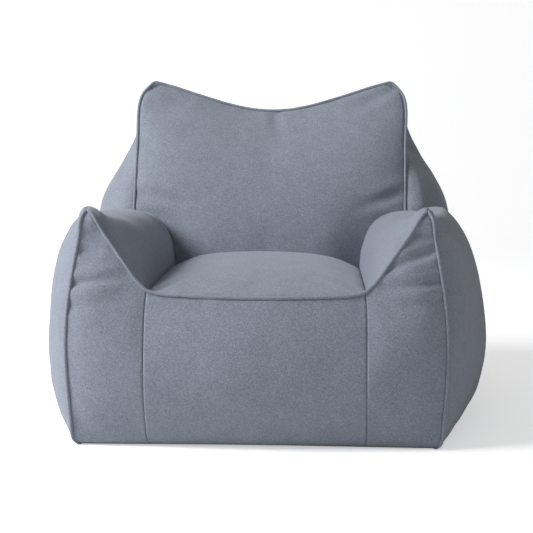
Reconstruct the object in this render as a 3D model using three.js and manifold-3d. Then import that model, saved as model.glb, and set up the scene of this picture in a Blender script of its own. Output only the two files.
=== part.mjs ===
// A shaped bean bag armchair: a sewn cover of shaped panels with piped seams, a zip low on
// the back, an inner liner with its own closure, three inner partitions and four bead fills.
// Millimetres. +Z up, the sitter faces -Y, and the origin is on the floor under the middle.
import * as THREE from "three";
import { mergeVertices } from "three/addons/utils/BufferGeometryUtils.js";
import Module from "manifold-3d";

const wasm = await Module();
wasm.setup();

// ---- Driving dimensions: the seat -------------------------------------------------------
const SEAT_WIDTH = 448; // between the two seat corners at the front
const SEAT_REAR_WIDTH = 418; // between the two creases where the seat meets the backrest
const SEAT_DEPTH = 460; // front edge to the crease under the backrest
const SEAT_HEIGHT = 320; // seat seams above the floor
const SEAT_CROWN = 46; // how far the seat swells above its seams
const SEAT_EDGE_BOW = 12; // front edge swells forward in the middle
const SEAT_EDGE_SAG = 5; // and sags in the middle

// ---- Driving dimensions: the front and the arms -------------------------------------------
const ARM_WIDTH = 154; // vertical front seam to outer front seam, at the base
const ARM_RISE = 176; // arm tip above the seat
const ARM_TIP_INSET = 31; // arm tip inwards of the foot of the outer front seam
const ARM_TIP_SETBACK = 30; // arm tip behind the seat's front edge
const ARM_REAR_RISE = 106; // end of the arm, at the backrest, above the seat
const ARM_REAR_SPAN = 638; // between the two points where arms meet the backrest's sides
const ARM_REAR_SETBACK = 70; // those two points behind the seat crease
const ARM_RIDGE_BOW = 12; // how far the top seam of an arm bows outwards
const ARM_CROWN = 30; // how far the inner side of an arm swells
const FRONT_TUCK = 20; // base edge behind the seat's front edge
const FRONT_CROWN = 30; // how far the front panels swell
const SEAM_BOW = 24; // how far the upright front seams bow forward
const OUTER_SEAM_BOW = 24; // how far the outer front seams bow sideways

// ---- Driving dimensions: the back and the sides -------------------------------------------
const BACK_RISE = 405; // top corners above the seat
const BACK_LEAN = 240; // top corners behind the seat crease
const BACK_TOP_WIDTH = 574; // between the two top corners
const BACK_TOP_DIP = 70; // the top edge curves down between its corners
const BACK_SHOULDER = 34; // round of the top corners
const BACK_CROWN = 46; // how far the backrest swells
const BACK_SIDE_BOW = 16; // how far the backrest's side seams bow outwards
const BACK_DEPTH = 370; // seat crease to the rear base edge
const REAR_BASE_WIDTH = 660; // between the two rear base corners
const REAR_WAIST_WIDTH = 770; // widest stretch of the rear panel
const REAR_WAIST_HEIGHT = 270; // and its height
const REAR_WAIST_SETBACK = 46; // and how far it is behind the rear base edge
const REAR_CROWN = 26; // how far the rear panel swells
const SIDE_BASE_BOW = 78; // how far a side's base edge bows outwards
const SIDE_CROWN = 73; // how far a side panel swells

// ---- Driving dimensions: the layers -------------------------------------------------------
const COVER_THICKNESS = 1.5; // brushed outer fabric with its backing
const LINER_THICKNESS = 0.6; // woven inner bag
const LAYER_GAP = 0.6; // between the cover and the liner
const FILL_GAP = 1.5; // between the liner and the beads
const SEAM_GAP = 0.35; // half of the gap between two sewn panels
const PARTITION_THICKNESS = 1; // cloth wall between two bead chambers
const PARTITION_GAP = 0.5; // on both sides of a partition
const PIPING_RADIUS = 3;
const PIPING_GAP = 1.6; // piping above the seam that it covers
const PIPING_END = 12; // piping stops short of a corner where seams meet

// ---- Driving dimensions: the zip ----------------------------------------------------------
const ZIP_HEIGHT = 110; // middle of the zip above the floor
const ZIP_REAR_WIDTH = 720; // width of the rear panel at the zip
const ZIP_SETBACK = 25; // zip behind the rear base edge
const ZIP_LENGTH = 600; // between the end stops
const TAPE_WIDTH = 13; // each of the two tapes
const TAPE_THICKNESS = 0.8;
const TAPE_INSET = 0.4; // tape below the cover's surface
const COIL_WIDTH = 3.2; // each of the two rows of teeth
const COIL_HEIGHT = 2;
const ZIP_GAP = 0.4; // between tape, teeth, stops and slider
const STOP_LENGTH = 3;
const SLIDER_LENGTH = 13;
const SLIDER_WALL = 1.2;
const BRIDGE_LENGTH = 10.4; // the small arch that holds the pull tab
const BRIDGE_WIDTH = 2.4;
const TAB_CLEARANCE = 1; // pull tab inside its arch
const TAB_THICKNESS = 1.4;
const TAB_LENGTH = 26;
const TAB_WIDTH = 8;
const TAB_BAR = 2.4; // bar of the pull tab that turns under the arch

// ---- Driving dimensions: the care label ---------------------------------------------------
const LABEL_WIDTH = 30;
const LABEL_LENGTH = 46;
const LABEL_THICKNESS = 0.7;
const LABEL_OFFSET = 235; // from the middle plane

// ---- How the fullness of each panel spreads ------------------------------------------------
// Powers of a parabola: a low power is full right up to the edges.
const FRONT_FULLNESS = { across: 0.8, up: 0.6 };
const SEAT_FULLNESS = { across: 0.6, up: 0.6 };
const BACK_FULLNESS = { across: 0.6, up: 0.8 };
const REAR_FULLNESS = { across: 0.7, up: 0.7 };
const SIDE_FULLNESS = { across: 0.6, up: 0.5 };
const NO_FULLNESS = { across: 1, up: 1 };
const BACK_SWELL = [0, -0.86, 0.5]; // the backrest swells forward and up
const REAR_SWELL = [0, 1, 0.2];
const FRONT_SPLAY = 0.15; // share by which an arm's front swells outwards
const ARM_SPLAY = 0.1; // share by which an arm's inner side swells inwards
const SHOULDER_OUT = 0.85; // shares of BACK_SHOULDER, out and forward of the corner
const SHOULDER_FORWARD = 0.45;
const LEAST_SPREAD = 0.4; // keeps the gap small where a panel has a narrow corner

// ---- How finely the cover's surface is divided --------------------------------------------
const SEAT_STEPS = 8; // across the seat
const ARM_STEPS = 4; // across an arm
const DEPTH_STEPS = 7; // along an arm
const BACK_STEPS = 6; // up the backrest above the arms
const REAR_STEPS = 5; // up the rear above the zip
const TAPE_ROWS = 2; // the two zip tapes
const LOWER_ROWS = 1; // rear panel below the zip
const UPRIGHT_STEPS = REAR_STEPS + TAPE_ROWS + LOWER_ROWS; // up the front
const PIPING_SIDES = 8;

const FABRIC = { color: 0x848b98, roughness: 0.95, metalness: 0 };
const LINER_CLOTH = { color: 0xe8e6e0, roughness: 0.9, metalness: 0 };
const BEADS = { color: 0xf6f6f2, roughness: 0.8, metalness: 0 };
const ZIP_TAPE = { color: 0x4f5561, roughness: 0.9, metalness: 0 };
const ZIP_TEETH = { color: 0x454b57, roughness: 0.5, metalness: 0 };
const ZIP_METAL = { color: 0x8a8d92, roughness: 0.35, metalness: 1 };
const LABEL_CLOTH = { color: 0xdcdad4, roughness: 0.85, metalness: 0 };

const RIGHT = 1;
const LEFT = -1;
const SIDES = { right: RIGHT, left: LEFT };

const chair = new THREE.Group();

function addNode(name, geometry, finish, parent = chair) {
  const mesh = new THREE.Mesh(geometry, new THREE.MeshStandardMaterial(finish));
  mesh.name = name;
  parent.add(mesh);
  return mesh;
}

// ---- The cover's surface: one closed skin of points and labelled triangles ----------------
const skinPoints = [];
const skinFaces = [];

function addPoint(point) {
  skinPoints.push(point);
  return skinPoints.length - 1;
}

const at = (x, y, z) => new THREE.Vector3(x, y, z);

// The corners of one side's panels; the seat crease is at y = 0 until the chair is centred.
function cornersOf(side) {
  const footHalf = SEAT_WIDTH / 2 + ARM_WIDTH;
  const backTop = SEAT_HEIGHT + BACK_RISE;
  const base = BACK_DEPTH;
  return {
    seatFront: addPoint(at(side * (SEAT_WIDTH / 2), -SEAT_DEPTH, SEAT_HEIGHT)),
    seatFoot: addPoint(at(side * (SEAT_WIDTH / 2), FRONT_TUCK - SEAT_DEPTH, 0)),
    frontFoot: addPoint(at(side * footHalf, FRONT_TUCK - SEAT_DEPTH, 0)),
    armTip: addPoint(
      at(side * (footHalf - ARM_TIP_INSET), ARM_TIP_SETBACK - SEAT_DEPTH, SEAT_HEIGHT + ARM_RISE),
    ),
    armEnd: addPoint(
      at(side * (ARM_REAR_SPAN / 2), ARM_REAR_SETBACK, SEAT_HEIGHT + ARM_REAR_RISE),
    ),
    seatRear: addPoint(at(side * (SEAT_REAR_WIDTH / 2), 0, SEAT_HEIGHT)),
    backTop: addPoint(at(side * (BACK_TOP_WIDTH / 2), BACK_LEAN, backTop)),
    zipTop: addPoint(
      at(side * (ZIP_REAR_WIDTH / 2), base + ZIP_SETBACK, ZIP_HEIGHT + TAPE_WIDTH),
    ),
    zipMiddle: addPoint(at(side * (ZIP_REAR_WIDTH / 2), base + ZIP_SETBACK, ZIP_HEIGHT)),
    zipBottom: addPoint(
      at(side * (ZIP_REAR_WIDTH / 2), base + ZIP_SETBACK, ZIP_HEIGHT - TAPE_WIDTH),
    ),
    rearFoot: addPoint(at(side * (REAR_BASE_WIDTH / 2), base, 0)),
  };
}

// A seam from one point to another through the points of its route, as a list of points.
function seam(start, end, steps, route = []) {
  const ends = [skinPoints[start], ...route, skinPoints[end]];
  const curve = new THREE.CatmullRomCurve3(ends, false, "centripetal");
  const line = [start];
  for (let i = 1; i < steps; i += 1) {
    line.push(addPoint(curve.getPointAt(i / steps)));
  }
  line.push(end);
  return line;
}

// The middle of two points, moved by a bow.
function middle(start, end, bow) {
  return skinPoints[start].clone().lerp(skinPoints[end], 0.5).add(bow);
}

// The arm's rear seam rises from the crease as a quarter of an ellipse.
function archSeam(start, end, steps) {
  const from = skinPoints[start];
  const to = skinPoints[end];
  const line = [start];
  for (let i = 1; i < steps; i += 1) {
    const angle = (i / steps) * (Math.PI / 2);
    const across = 1 - Math.cos(angle);
    const up = Math.sin(angle);
    line.push(
      addPoint(
        at(
          from.x + (to.x - from.x) * across,
          from.y + (to.y - from.y) * up,
          from.z + (to.z - from.z) * up,
        ),
      ),
    );
  }
  line.push(end);
  return line;
}

const joined = (first, second) => first.concat(second.slice(1));
const reversed = (line) => [...line].reverse();

function sideSeams(side) {
  const c = cornersOf(side);
  const out = (amount) => at(side * amount, 0, 0);
  const backTop = skinPoints[c.backTop];
  const shoulder = at(
    backTop.x + side * BACK_SHOULDER * SHOULDER_OUT,
    backTop.y - BACK_SHOULDER * SHOULDER_FORWARD,
    backTop.z - BACK_SHOULDER,
  );
  const waist = at(
    side * (REAR_WAIST_WIDTH / 2),
    BACK_DEPTH + REAR_WAIST_SETBACK,
    REAR_WAIST_HEIGHT,
  );
  return {
    corners: c,
    frontUpright: seam(c.seatFoot, c.seatFront, UPRIGHT_STEPS, [
      middle(c.seatFoot, c.seatFront, at(0, -SEAM_BOW, 0)),
    ]),
    outerUpright: seam(c.frontFoot, c.armTip, UPRIGHT_STEPS, [
      middle(c.frontFoot, c.armTip, at(side * OUTER_SEAM_BOW, -SEAM_BOW, 0)),
    ]),
    armBase: seam(c.seatFoot, c.frontFoot, ARM_STEPS),
    armDiagonal: seam(c.seatFront, c.armTip, ARM_STEPS),
    armRidge: seam(c.armTip, c.armEnd, DEPTH_STEPS, [middle(c.armTip, c.armEnd, out(ARM_RIDGE_BOW))]),
    armRear: archSeam(c.seatRear, c.armEnd, ARM_STEPS),
    seatSide: seam(c.seatFront, c.seatRear, DEPTH_STEPS),
    backSide: seam(c.armEnd, c.backTop, BACK_STEPS, [
      middle(c.armEnd, c.backTop, out(BACK_SIDE_BOW)),
      shoulder,
    ]),
    rearLower: seam(c.rearFoot, c.zipBottom, LOWER_ROWS),
    rearTape: [c.zipBottom, c.zipMiddle, c.zipTop],
    rearUpper: seam(c.zipTop, c.backTop, REAR_STEPS, [waist]),
    sideBase: seam(c.frontFoot, c.rearFoot, DEPTH_STEPS + BACK_STEPS, [
      middle(c.frontFoot, c.rearFoot, out(SIDE_BASE_BOW)),
    ]),
  };
}

// Fills the space between four seams with a smooth patch that swells by its crown.
function fillPatch(panel, bottom, top, left, right, crown) {
  const columns = bottom.length - 1;
  const rows = left.length - 1;
  const p = (id) => skinPoints[id];
  const corner = [p(bottom[0]), p(bottom[columns]), p(top[0]), p(top[columns])];
  const grid = [bottom];
  for (let j = 1; j < rows; j += 1) {
    const v = j / rows;
    const row = [left[j]];
    for (let i = 1; i < columns; i += 1) {
      const u = i / columns;
      const between = at(0, 0, 0)
        .addScaledVector(p(bottom[i]), 1 - v)
        .addScaledVector(p(top[i]), v)
        .addScaledVector(p(left[j]), 1 - u)
        .addScaledVector(p(right[j]), u)
        .addScaledVector(corner[0], -(1 - u) * (1 - v))
        .addScaledVector(corner[1], -u * (1 - v))
        .addScaledVector(corner[2], -(1 - u) * v)
        .addScaledVector(corner[3], -u * v);
      const fullness = (4 * u * (1 - u)) ** crown.across * (4 * v * (1 - v)) ** crown.up;
      between.addScaledVector(crown.towards, crown.depth * fullness);
      row.push(addPoint(between));
    }
    row.push(right[j]);
    grid.push(row);
  }
  grid.push(top);
  const faces = [];
  for (let j = 0; j < rows; j += 1) {
    for (let i = 0; i < columns; i += 1) {
      const [a, b] = [grid[j][i], grid[j][i + 1]];
      const [d, c] = [grid[j + 1][i], grid[j + 1][i + 1]];
      faces.push([a, b, c], [a, c, d]);
    }
  }
  addFaces(panel, faces, crown.towards);
}

// Keeps the faces of a patch, turned so that they face the given way.
function addFaces(panel, faces, towards) {
  const total = at(0, 0, 0);
  for (const face of faces) total.add(faceNormal(face));
  const flip = total.dot(towards) < 0;
  for (const [a, b, c] of faces) {
    skinFaces.push({ panel, corners: flip ? [a, c, b] : [a, b, c] });
  }
}

// A triangle's normal, as long as twice its area.
function faceNormal([a, b, c]) {
  const ab = skinPoints[b].clone().sub(skinPoints[a]);
  const ac = skinPoints[c].clone().sub(skinPoints[a]);
  return ab.cross(ac);
}

const crownOf = ([x, y, z], depth, fullness) => ({
  towards: at(x, y, z).normalize(),
  depth,
  ...fullness,
});

const seams = { right: sideSeams(RIGHT), left: sideSeams(LEFT) };

function crossSeam(corner, steps, route = []) {
  return seam(seams.left.corners[corner], seams.right.corners[corner], steps, route);
}

const frontY = -SEAT_DEPTH;
const seatEdge = crossSeam("seatFront", SEAT_STEPS, [
  at(0, frontY - SEAT_EDGE_BOW, SEAT_HEIGHT - SEAT_EDGE_SAG),
]);
const frontBase = crossSeam("seatFoot", SEAT_STEPS);
const seatCrease = crossSeam("seatRear", SEAT_STEPS);
const backEdge = crossSeam("backTop", SEAT_STEPS, [
  at(0, BACK_LEAN, SEAT_HEIGHT + BACK_RISE - BACK_TOP_DIP),
]);
const zipTop = crossSeam("zipTop", SEAT_STEPS);
const zipMiddle = crossSeam("zipMiddle", SEAT_STEPS);
const zipBottom = crossSeam("zipBottom", SEAT_STEPS);
const rearBase = crossSeam("rearFoot", SEAT_STEPS);

function sewCentrePanels() {
  const { left, right } = seams;
  const frontUprights = [left.frontUpright, right.frontUpright];
  const frontCrown = crownOf([0, -1, 0], FRONT_CROWN, FRONT_FULLNESS);
  fillPatch("front_center_panel", frontBase, seatEdge, ...frontUprights, frontCrown);
  const seatCrown = crownOf([0, 0, 1], SEAT_CROWN, SEAT_FULLNESS);
  fillPatch("seat_panel", seatEdge, seatCrease, left.seatSide, right.seatSide, seatCrown);
  const backSides = [left, right].map((s) => joined(s.armRear, s.backSide));
  const backCrown = crownOf(BACK_SWELL, BACK_CROWN, BACK_FULLNESS);
  fillPatch("backrest_panel", seatCrease, backEdge, ...backSides, backCrown);
  const rearUppers = [left.rearUpper, right.rearUpper];
  const rearCrown = crownOf(REAR_SWELL, REAR_CROWN, REAR_FULLNESS);
  fillPatch("rear_upper_panel", zipTop, backEdge, ...rearUppers, rearCrown);
  const flat = crownOf([0, 1, 0], 0, NO_FULLNESS);
  const tapeEnd = (s, row) => [s.rearTape[row], s.rearTape[row + 1]];
  fillPatch("zip_tape_upper", zipMiddle, zipTop, tapeEnd(left, 1), tapeEnd(right, 1), flat);
  fillPatch("zip_tape_lower", zipBottom, zipMiddle, tapeEnd(left, 0), tapeEnd(right, 0), flat);
  fillPatch("rear_lower_panel", rearBase, zipBottom, left.rearLower, right.rearLower, flat);
}

function sewSidePanels(name, side) {
  const s = seams[name];
  const frontCrown = crownOf([side * FRONT_SPLAY, -1, 0], FRONT_CROWN, FRONT_FULLNESS);
  fillPatch(
    `front_${name}_panel`,
    s.armBase,
    s.armDiagonal,
    s.frontUpright,
    s.outerUpright,
    frontCrown,
  );
  const armCrown = crownOf([-side * ARM_SPLAY, 0, 1], ARM_CROWN, SEAT_FULLNESS);
  fillPatch(
    `arm_${name}_panel`,
    s.armDiagonal,
    s.armRear,
    s.seatSide,
    s.armRidge,
    armCrown,
  );
  const rear = joined(joined(s.rearLower, s.rearTape), s.rearUpper);
  const top = joined(s.armRidge, s.backSide);
  const sideCrown = crownOf([side, 0, 0], SIDE_CROWN, SIDE_FULLNESS);
  fillPatch(`side_${name}_panel`, s.sideBase, top, s.outerUpright, rear, sideCrown);
}

function sewBase() {
  const { left, right } = seams;
  const loop = [
    reversed(left.armBase),
    frontBase,
    right.armBase,
    right.sideBase,
    reversed(rearBase),
    reversed(left.sideBase),
  ].flatMap((line) => line.slice(0, -1));
  const outline = loop.map((id) => new THREE.Vector2(skinPoints[id].x, skinPoints[id].y));
  const faces = THREE.ShapeUtils.triangulateShape(outline, []);
  addFaces(
    "base_panel",
    faces.map((face) => face.map((i) => loop[i])),
    at(0, 0, -1),
  );
}

sewCentrePanels();
for (const [name, side] of Object.entries(SIDES)) sewSidePanels(name, side);
sewBase();

// The angle of a triangle's corner, which weighs its normal there.
function cornerAngle(corners, n) {
  const [a, b, c] = [0, 1, 2].map((i) => skinPoints[corners[(n + i) % 3]]);
  return b.clone().sub(a).angleTo(c.clone().sub(a));
}

// Every point's inward step for one unit of depth, square to the surface. On the floor it
// rises by exactly one unit, so that every layer has a flat base.
function inwardSteps() {
  const sums = skinPoints.map(() => at(0, 0, 0));
  for (const { corners } of skinFaces) {
    const normal = faceNormal(corners).normalize();
    corners.forEach((id, n) => sums[id].addScaledVector(normal, cornerAngle(corners, n)));
  }
  return sums.map((sum, id) => {
    const onFloor = skinPoints[id].z === 0;
    return sum.divideScalar(onFloor ? sum.z : -sum.length());
  });
}

const inward = inwardSteps();
const below = (id, depth) => skinPoints[id].clone().addScaledVector(inward[id], depth);

function geometryOf(points, faces) {
  const geometry = new THREE.BufferGeometry().setFromPoints(points);
  geometry.setIndex(faces.flat());
  return geometry;
}

// One sewn layer: the named panels between two depths, drawn in by a gap at its edges.
function layerGeometry(panels, outerDepth, innerDepth, gap) {
  const faces = skinFaces.filter((f) => panels.includes(f.panel)).map((f) => f.corners);
  const directed = new Map();
  for (const face of faces) {
    face.forEach((a, i) => directed.set(`${a},${face[(i + 1) % 3]}`, face));
  }
  const rim = [];
  for (const [key, face] of directed) {
    const [a, b] = key.split(",").map(Number);
    if (!directed.has(`${b},${a}`)) rim.push({ a, b, face });
  }
  const drawIn = new Map();
  for (const { a, b, face } of rim) {
    const along = skinPoints[b].clone().sub(skinPoints[a]);
    const inside = faceNormal(face).cross(along).normalize();
    for (const id of [a, b]) drawIn.set(id, [...(drawIn.get(id) || []), inside]);
  }
  const shift = new Map();
  for (const [id, [first, second]] of drawIn) {
    const spread = Math.max(1 + first.dot(second), LEAST_SPREAD);
    shift.set(id, first.clone().add(second).multiplyScalar(gap / spread));
  }
  const ids = [...new Set(faces.flat())];
  const place = new Map(ids.map((id, i) => [id, i]));
  const layer = (depth) =>
    ids.map((id) => below(id, depth).add(shift.get(id) || at(0, 0, 0)));
  const points = [...layer(outerDepth), ...layer(innerDepth)];
  const outer = (id) => place.get(id);
  const inner = (id) => place.get(id) + ids.length;
  const shell = faces.flatMap(([a, b, c]) => [
    [outer(a), outer(b), outer(c)],
    [inner(a), inner(c), inner(b)],
  ]);
  // Both panels of a seam split its wall along the same diagonal, so that the gap is even.
  const walls = rim.flatMap(({ a, b }) =>
    a < b
      ? [
          [outer(a), inner(a), inner(b)],
          [outer(a), inner(b), outer(b)],
        ]
      : [
          [outer(b), outer(a), inner(a)],
          [outer(b), inner(a), inner(b)],
        ],
  );
  return geometryOf(points, [...shell, ...walls]);
}

// ---- Cover, liner and its closure ---------------------------------------------------------
const TAPES = ["zip_tape_upper", "zip_tape_lower"];
const panelNames = [...new Set(skinFaces.map((face) => face.panel))];
const coverPanels = panelNames.filter((name) => !TAPES.includes(name));

for (const name of coverPanels) {
  addNode(name, layerGeometry([name], 0, COVER_THICKNESS, SEAM_GAP), FABRIC);
}
for (const name of TAPES) {
  const inner = TAPE_INSET + TAPE_THICKNESS;
  addNode(name, layerGeometry([name], TAPE_INSET, inner, SEAM_GAP), ZIP_TAPE);
}
const linerOuter = COVER_THICKNESS + LAYER_GAP;
const linerInner = linerOuter + LINER_THICKNESS;
addNode("inner_liner", layerGeometry(coverPanels, linerOuter, linerInner, SEAM_GAP), LINER_CLOTH);
addNode("liner_closure", layerGeometry(TAPES, linerOuter, linerInner, SEAM_GAP), LINER_CLOTH);

// ---- Partitions and bead fills ------------------------------------------------------------
function solidOf(geometry) {
  const bare = geometry.clone();
  bare.deleteAttribute("normal");
  bare.deleteAttribute("uv");
  const merged = mergeVertices(bare, 1e-3);
  return new wasm.Manifold(
    new wasm.Mesh({
      numProp: 3,
      vertProperties: merged.attributes.position.array,
      triVerts: new Uint32Array(merged.index.array),
    }),
  );
}

function geometryFromSolid(solid) {
  const mesh = solid.getMesh();
  const geometry = new THREE.BufferGeometry();
  geometry.setAttribute("position", new THREE.BufferAttribute(mesh.vertProperties, 3));
  geometry.setIndex([...mesh.triVerts]);
  return geometry;
}

// A box between two corners.
function boxBetween(low, high) {
  const size = high.clone().sub(low);
  const centre = low.clone().add(high).multiplyScalar(0.5);
  return new THREE.BoxGeometry(size.x, size.y, size.z).translate(centre.x, centre.y, centre.z);
}

const fillDepth = linerInner + FILL_GAP;
const fillSkin = solidOf(
  geometryOf(
    skinPoints.map((_, id) => below(id, fillDepth)),
    skinFaces.map((face) => face.corners),
  ),
);
const REACH = 2 * (SEAT_WIDTH + SEAT_DEPTH + BACK_RISE + SEAT_HEIGHT); // beyond the chair
const wallX = (SEAT_WIDTH + SEAT_REAR_WIDTH) / 4; // middle of the seat's side seams
const wallHalf = PARTITION_THICKNESS / 2;
const wallSide = wallHalf + PARTITION_GAP;

function chamber(low, high) {
  const box = boxBetween(at(low[0], low[1], -REACH), at(high[0], high[1], REACH));
  return geometryFromSolid(fillSkin.intersect(solidOf(box)));
}

const seatSideLimit = wallX - wallSide;
addNode(
  "seat_bead_fill",
  chamber([-seatSideLimit, -REACH], [seatSideLimit, -wallSide]),
  BEADS,
);
addNode("back_bead_fill", chamber([-REACH, wallSide], [REACH, REACH]), BEADS);
addNode("back_partition", chamber([-REACH, -wallHalf], [REACH, wallHalf]), LINER_CLOTH);
for (const [name, side] of Object.entries(SIDES)) {
  const armEdges = [side * (wallX + wallSide), side * REACH].sort((a, b) => a - b);
  const wallEdges = [side * wallX - wallHalf, side * wallX + wallHalf];
  addNode(
    `${name}_arm_bead_fill`,
    chamber([armEdges[0], -REACH], [armEdges[1], -wallSide]),
    BEADS,
  );
  addNode(
    `${name}_arm_partition`,
    chamber([wallEdges[0], -REACH], [wallEdges[1], -wallSide]),
    LINER_CLOTH,
  );
}

// ---- Piping -------------------------------------------------------------------------------
// A path that runs straight from point to point.
class SeamLine extends THREE.Curve {
  constructor(points) {
    super();
    this.points = points;
  }
  getPoint(t) {
    const place = t * (this.points.length - 1);
    const i = Math.min(Math.floor(place), this.points.length - 2);
    return this.points[i].clone().lerp(this.points[i + 1], place - i);
  }
  getUtoTmapping(u) {
    return u;
  }
}

// The way out from a seam, between the two panels that it joins.
function outwardAt(id, panels) {
  const sum = at(0, 0, 0);
  for (const { panel, corners } of skinFaces) {
    if (panels.includes(panel) && corners.includes(id)) {
      sum.add(faceNormal(corners).normalize());
    }
  }
  return sum.normalize();
}

function pipingGeometry(runs, startTrim, endTrim) {
  const rise = PIPING_RADIUS + PIPING_GAP;
  const points = runs.flatMap(({ line, panels }, n) =>
    line
      .slice(n ? 1 : 0)
      .map((id) => skinPoints[id].clone().addScaledVector(outwardAt(id, panels), rise)),
  );
  const last = points.length - 1;
  const cut = (end, next, trim) => end.add(next.clone().sub(end).setLength(trim));
  if (startTrim) cut(points[0], points[1], startTrim);
  if (endTrim) cut(points[last], points[last - 1], endTrim);
  const section = new THREE.Shape();
  for (let i = 0; i < PIPING_SIDES; i += 1) {
    const angle = (i / PIPING_SIDES) * 2 * Math.PI;
    const [x, y] = [PIPING_RADIUS * Math.cos(angle), PIPING_RADIUS * Math.sin(angle)];
    if (i) section.lineTo(x, y);
    else section.moveTo(x, y);
  }
  section.closePath();
  return new THREE.ExtrudeGeometry(section, {
    steps: last,
    bevelEnabled: false,
    extrudePath: new SeamLine(points),
  });
}

function addPiping() {
  const { left, right } = seams;
  const diagonal = (name, line) => ({
    line,
    panels: [`front_${name}_panel`, `arm_${name}_panel`],
  });
  const frontRuns = [
    diagonal("left", reversed(left.armDiagonal)),
    { line: seatEdge, panels: ["front_center_panel", "seat_panel"] },
    diagonal("right", right.armDiagonal),
  ];
  addNode("front_edge_piping", pipingGeometry(frontRuns, PIPING_END, PIPING_END), FABRIC);
  for (const name of Object.keys(SIDES)) {
    const panels = [`front_${name}_panel`, `side_${name}_panel`];
    const run = [{ line: seams[name].outerUpright, panels }];
    addNode(`${name}_front_piping`, pipingGeometry(run, PIPING_END, 0), FABRIC);
  }
  const backSide = (name, line) => ({
    line,
    panels: ["backrest_panel", `side_${name}_panel`],
  });
  const backRuns = [
    backSide("left", left.backSide),
    { line: backEdge, panels: ["backrest_panel", "rear_upper_panel"] },
    backSide("right", reversed(right.backSide)),
  ];
  addNode("backrest_piping", pipingGeometry(backRuns, PIPING_END, PIPING_END), FABRIC);
}

addPiping();

// ---- Zip ----------------------------------------------------------------------------------
const zipFace = BACK_DEPTH + ZIP_SETBACK; // cover surface at the zip
const coilBottom = zipFace - TAPE_INSET + ZIP_GAP;
const coilTop = coilBottom + COIL_HEIGHT;
const coilReach = ZIP_GAP / 2 + COIL_WIDTH; // from the zip's middle line
const halfZip = ZIP_LENGTH / 2;

function addZipTrack() {
  for (const [name, way] of Object.entries({ upper: 1, lower: -1 })) {
    const heights = [ZIP_HEIGHT + (way * ZIP_GAP) / 2, ZIP_HEIGHT + way * coilReach];
    const [low, high] = heights.sort((a, b) => a - b);
    const row = boxBetween(at(-halfZip, coilBottom, low), at(halfZip, coilTop, high));
    addNode(`zip_teeth_${name}`, row, ZIP_TEETH);
  }
  for (const [name, side] of Object.entries(SIDES)) {
    const near = halfZip + ZIP_GAP;
    const edges = [side * near, side * (near + STOP_LENGTH)].sort((a, b) => a - b);
    const low = at(edges[0], coilBottom, ZIP_HEIGHT - coilReach);
    const high = at(edges[1], coilTop, ZIP_HEIGHT + coilReach);
    addNode(`zip_${name}_stop`, boxBetween(low, high), ZIP_METAL);
  }
}

// The slider straddles both rows of teeth, and its arch holds the bar of the pull tab.
// Both are drawn about the pull tab's axis: x along the zip, y out of the chair.
const barRadius = Math.hypot(TAB_BAR, TAB_THICKNESS) / 2;
const archFloor = -(barRadius + TAB_CLEARANCE / 3);
const archRoof = -archFloor;
const pivot = at(
  halfZip - SLIDER_LENGTH / 2,
  coilTop + ZIP_GAP + SLIDER_WALL - archFloor,
  ZIP_HEIGHT,
);

function sliderGeometry() {
  const half = SLIDER_LENGTH / 2;
  const outerReach = coilReach + ZIP_GAP + SLIDER_WALL;
  const skirtEnd = coilBottom - pivot.y;
  const plate = boxBetween(
    at(-half, archFloor - SLIDER_WALL, -outerReach),
    at(half, archFloor, outerReach),
  );
  let body = solidOf(plate);
  for (const way of [1, -1]) {
    const heights = [way * outerReach, way * (outerReach - SLIDER_WALL)].sort((a, b) => a - b);
    const skirt = boxBetween(at(-half, skirtEnd, heights[0]), at(half, archFloor, heights[1]));
    body = body.add(solidOf(skirt));
  }
  const arch = new THREE.Shape();
  const halfArch = BRIDGE_LENGTH / 2;
  const root = archFloor - SLIDER_WALL / 2;
  arch.moveTo(-halfArch, root);
  arch.lineTo(-halfArch, archRoof);
  const crest = archRoof + SLIDER_WALL;
  arch.quadraticCurveTo(-halfArch, crest, -halfArch + SLIDER_WALL, crest);
  arch.lineTo(halfArch - SLIDER_WALL, crest);
  arch.quadraticCurveTo(halfArch, crest, halfArch, archRoof);
  arch.lineTo(halfArch, root);
  arch.lineTo(halfArch - SLIDER_WALL, root);
  arch.lineTo(halfArch - SLIDER_WALL, archRoof);
  arch.lineTo(-halfArch + SLIDER_WALL, archRoof);
  arch.lineTo(-halfArch + SLIDER_WALL, root);
  arch.closePath();
  const bow = new THREE.ExtrudeGeometry(arch, {
    depth: BRIDGE_WIDTH,
    bevelEnabled: false,
    curveSegments: 4,
  }).translate(0, 0, -BRIDGE_WIDTH / 2);
  return geometryFromSolid(body.add(solidOf(bow)));
}

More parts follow.
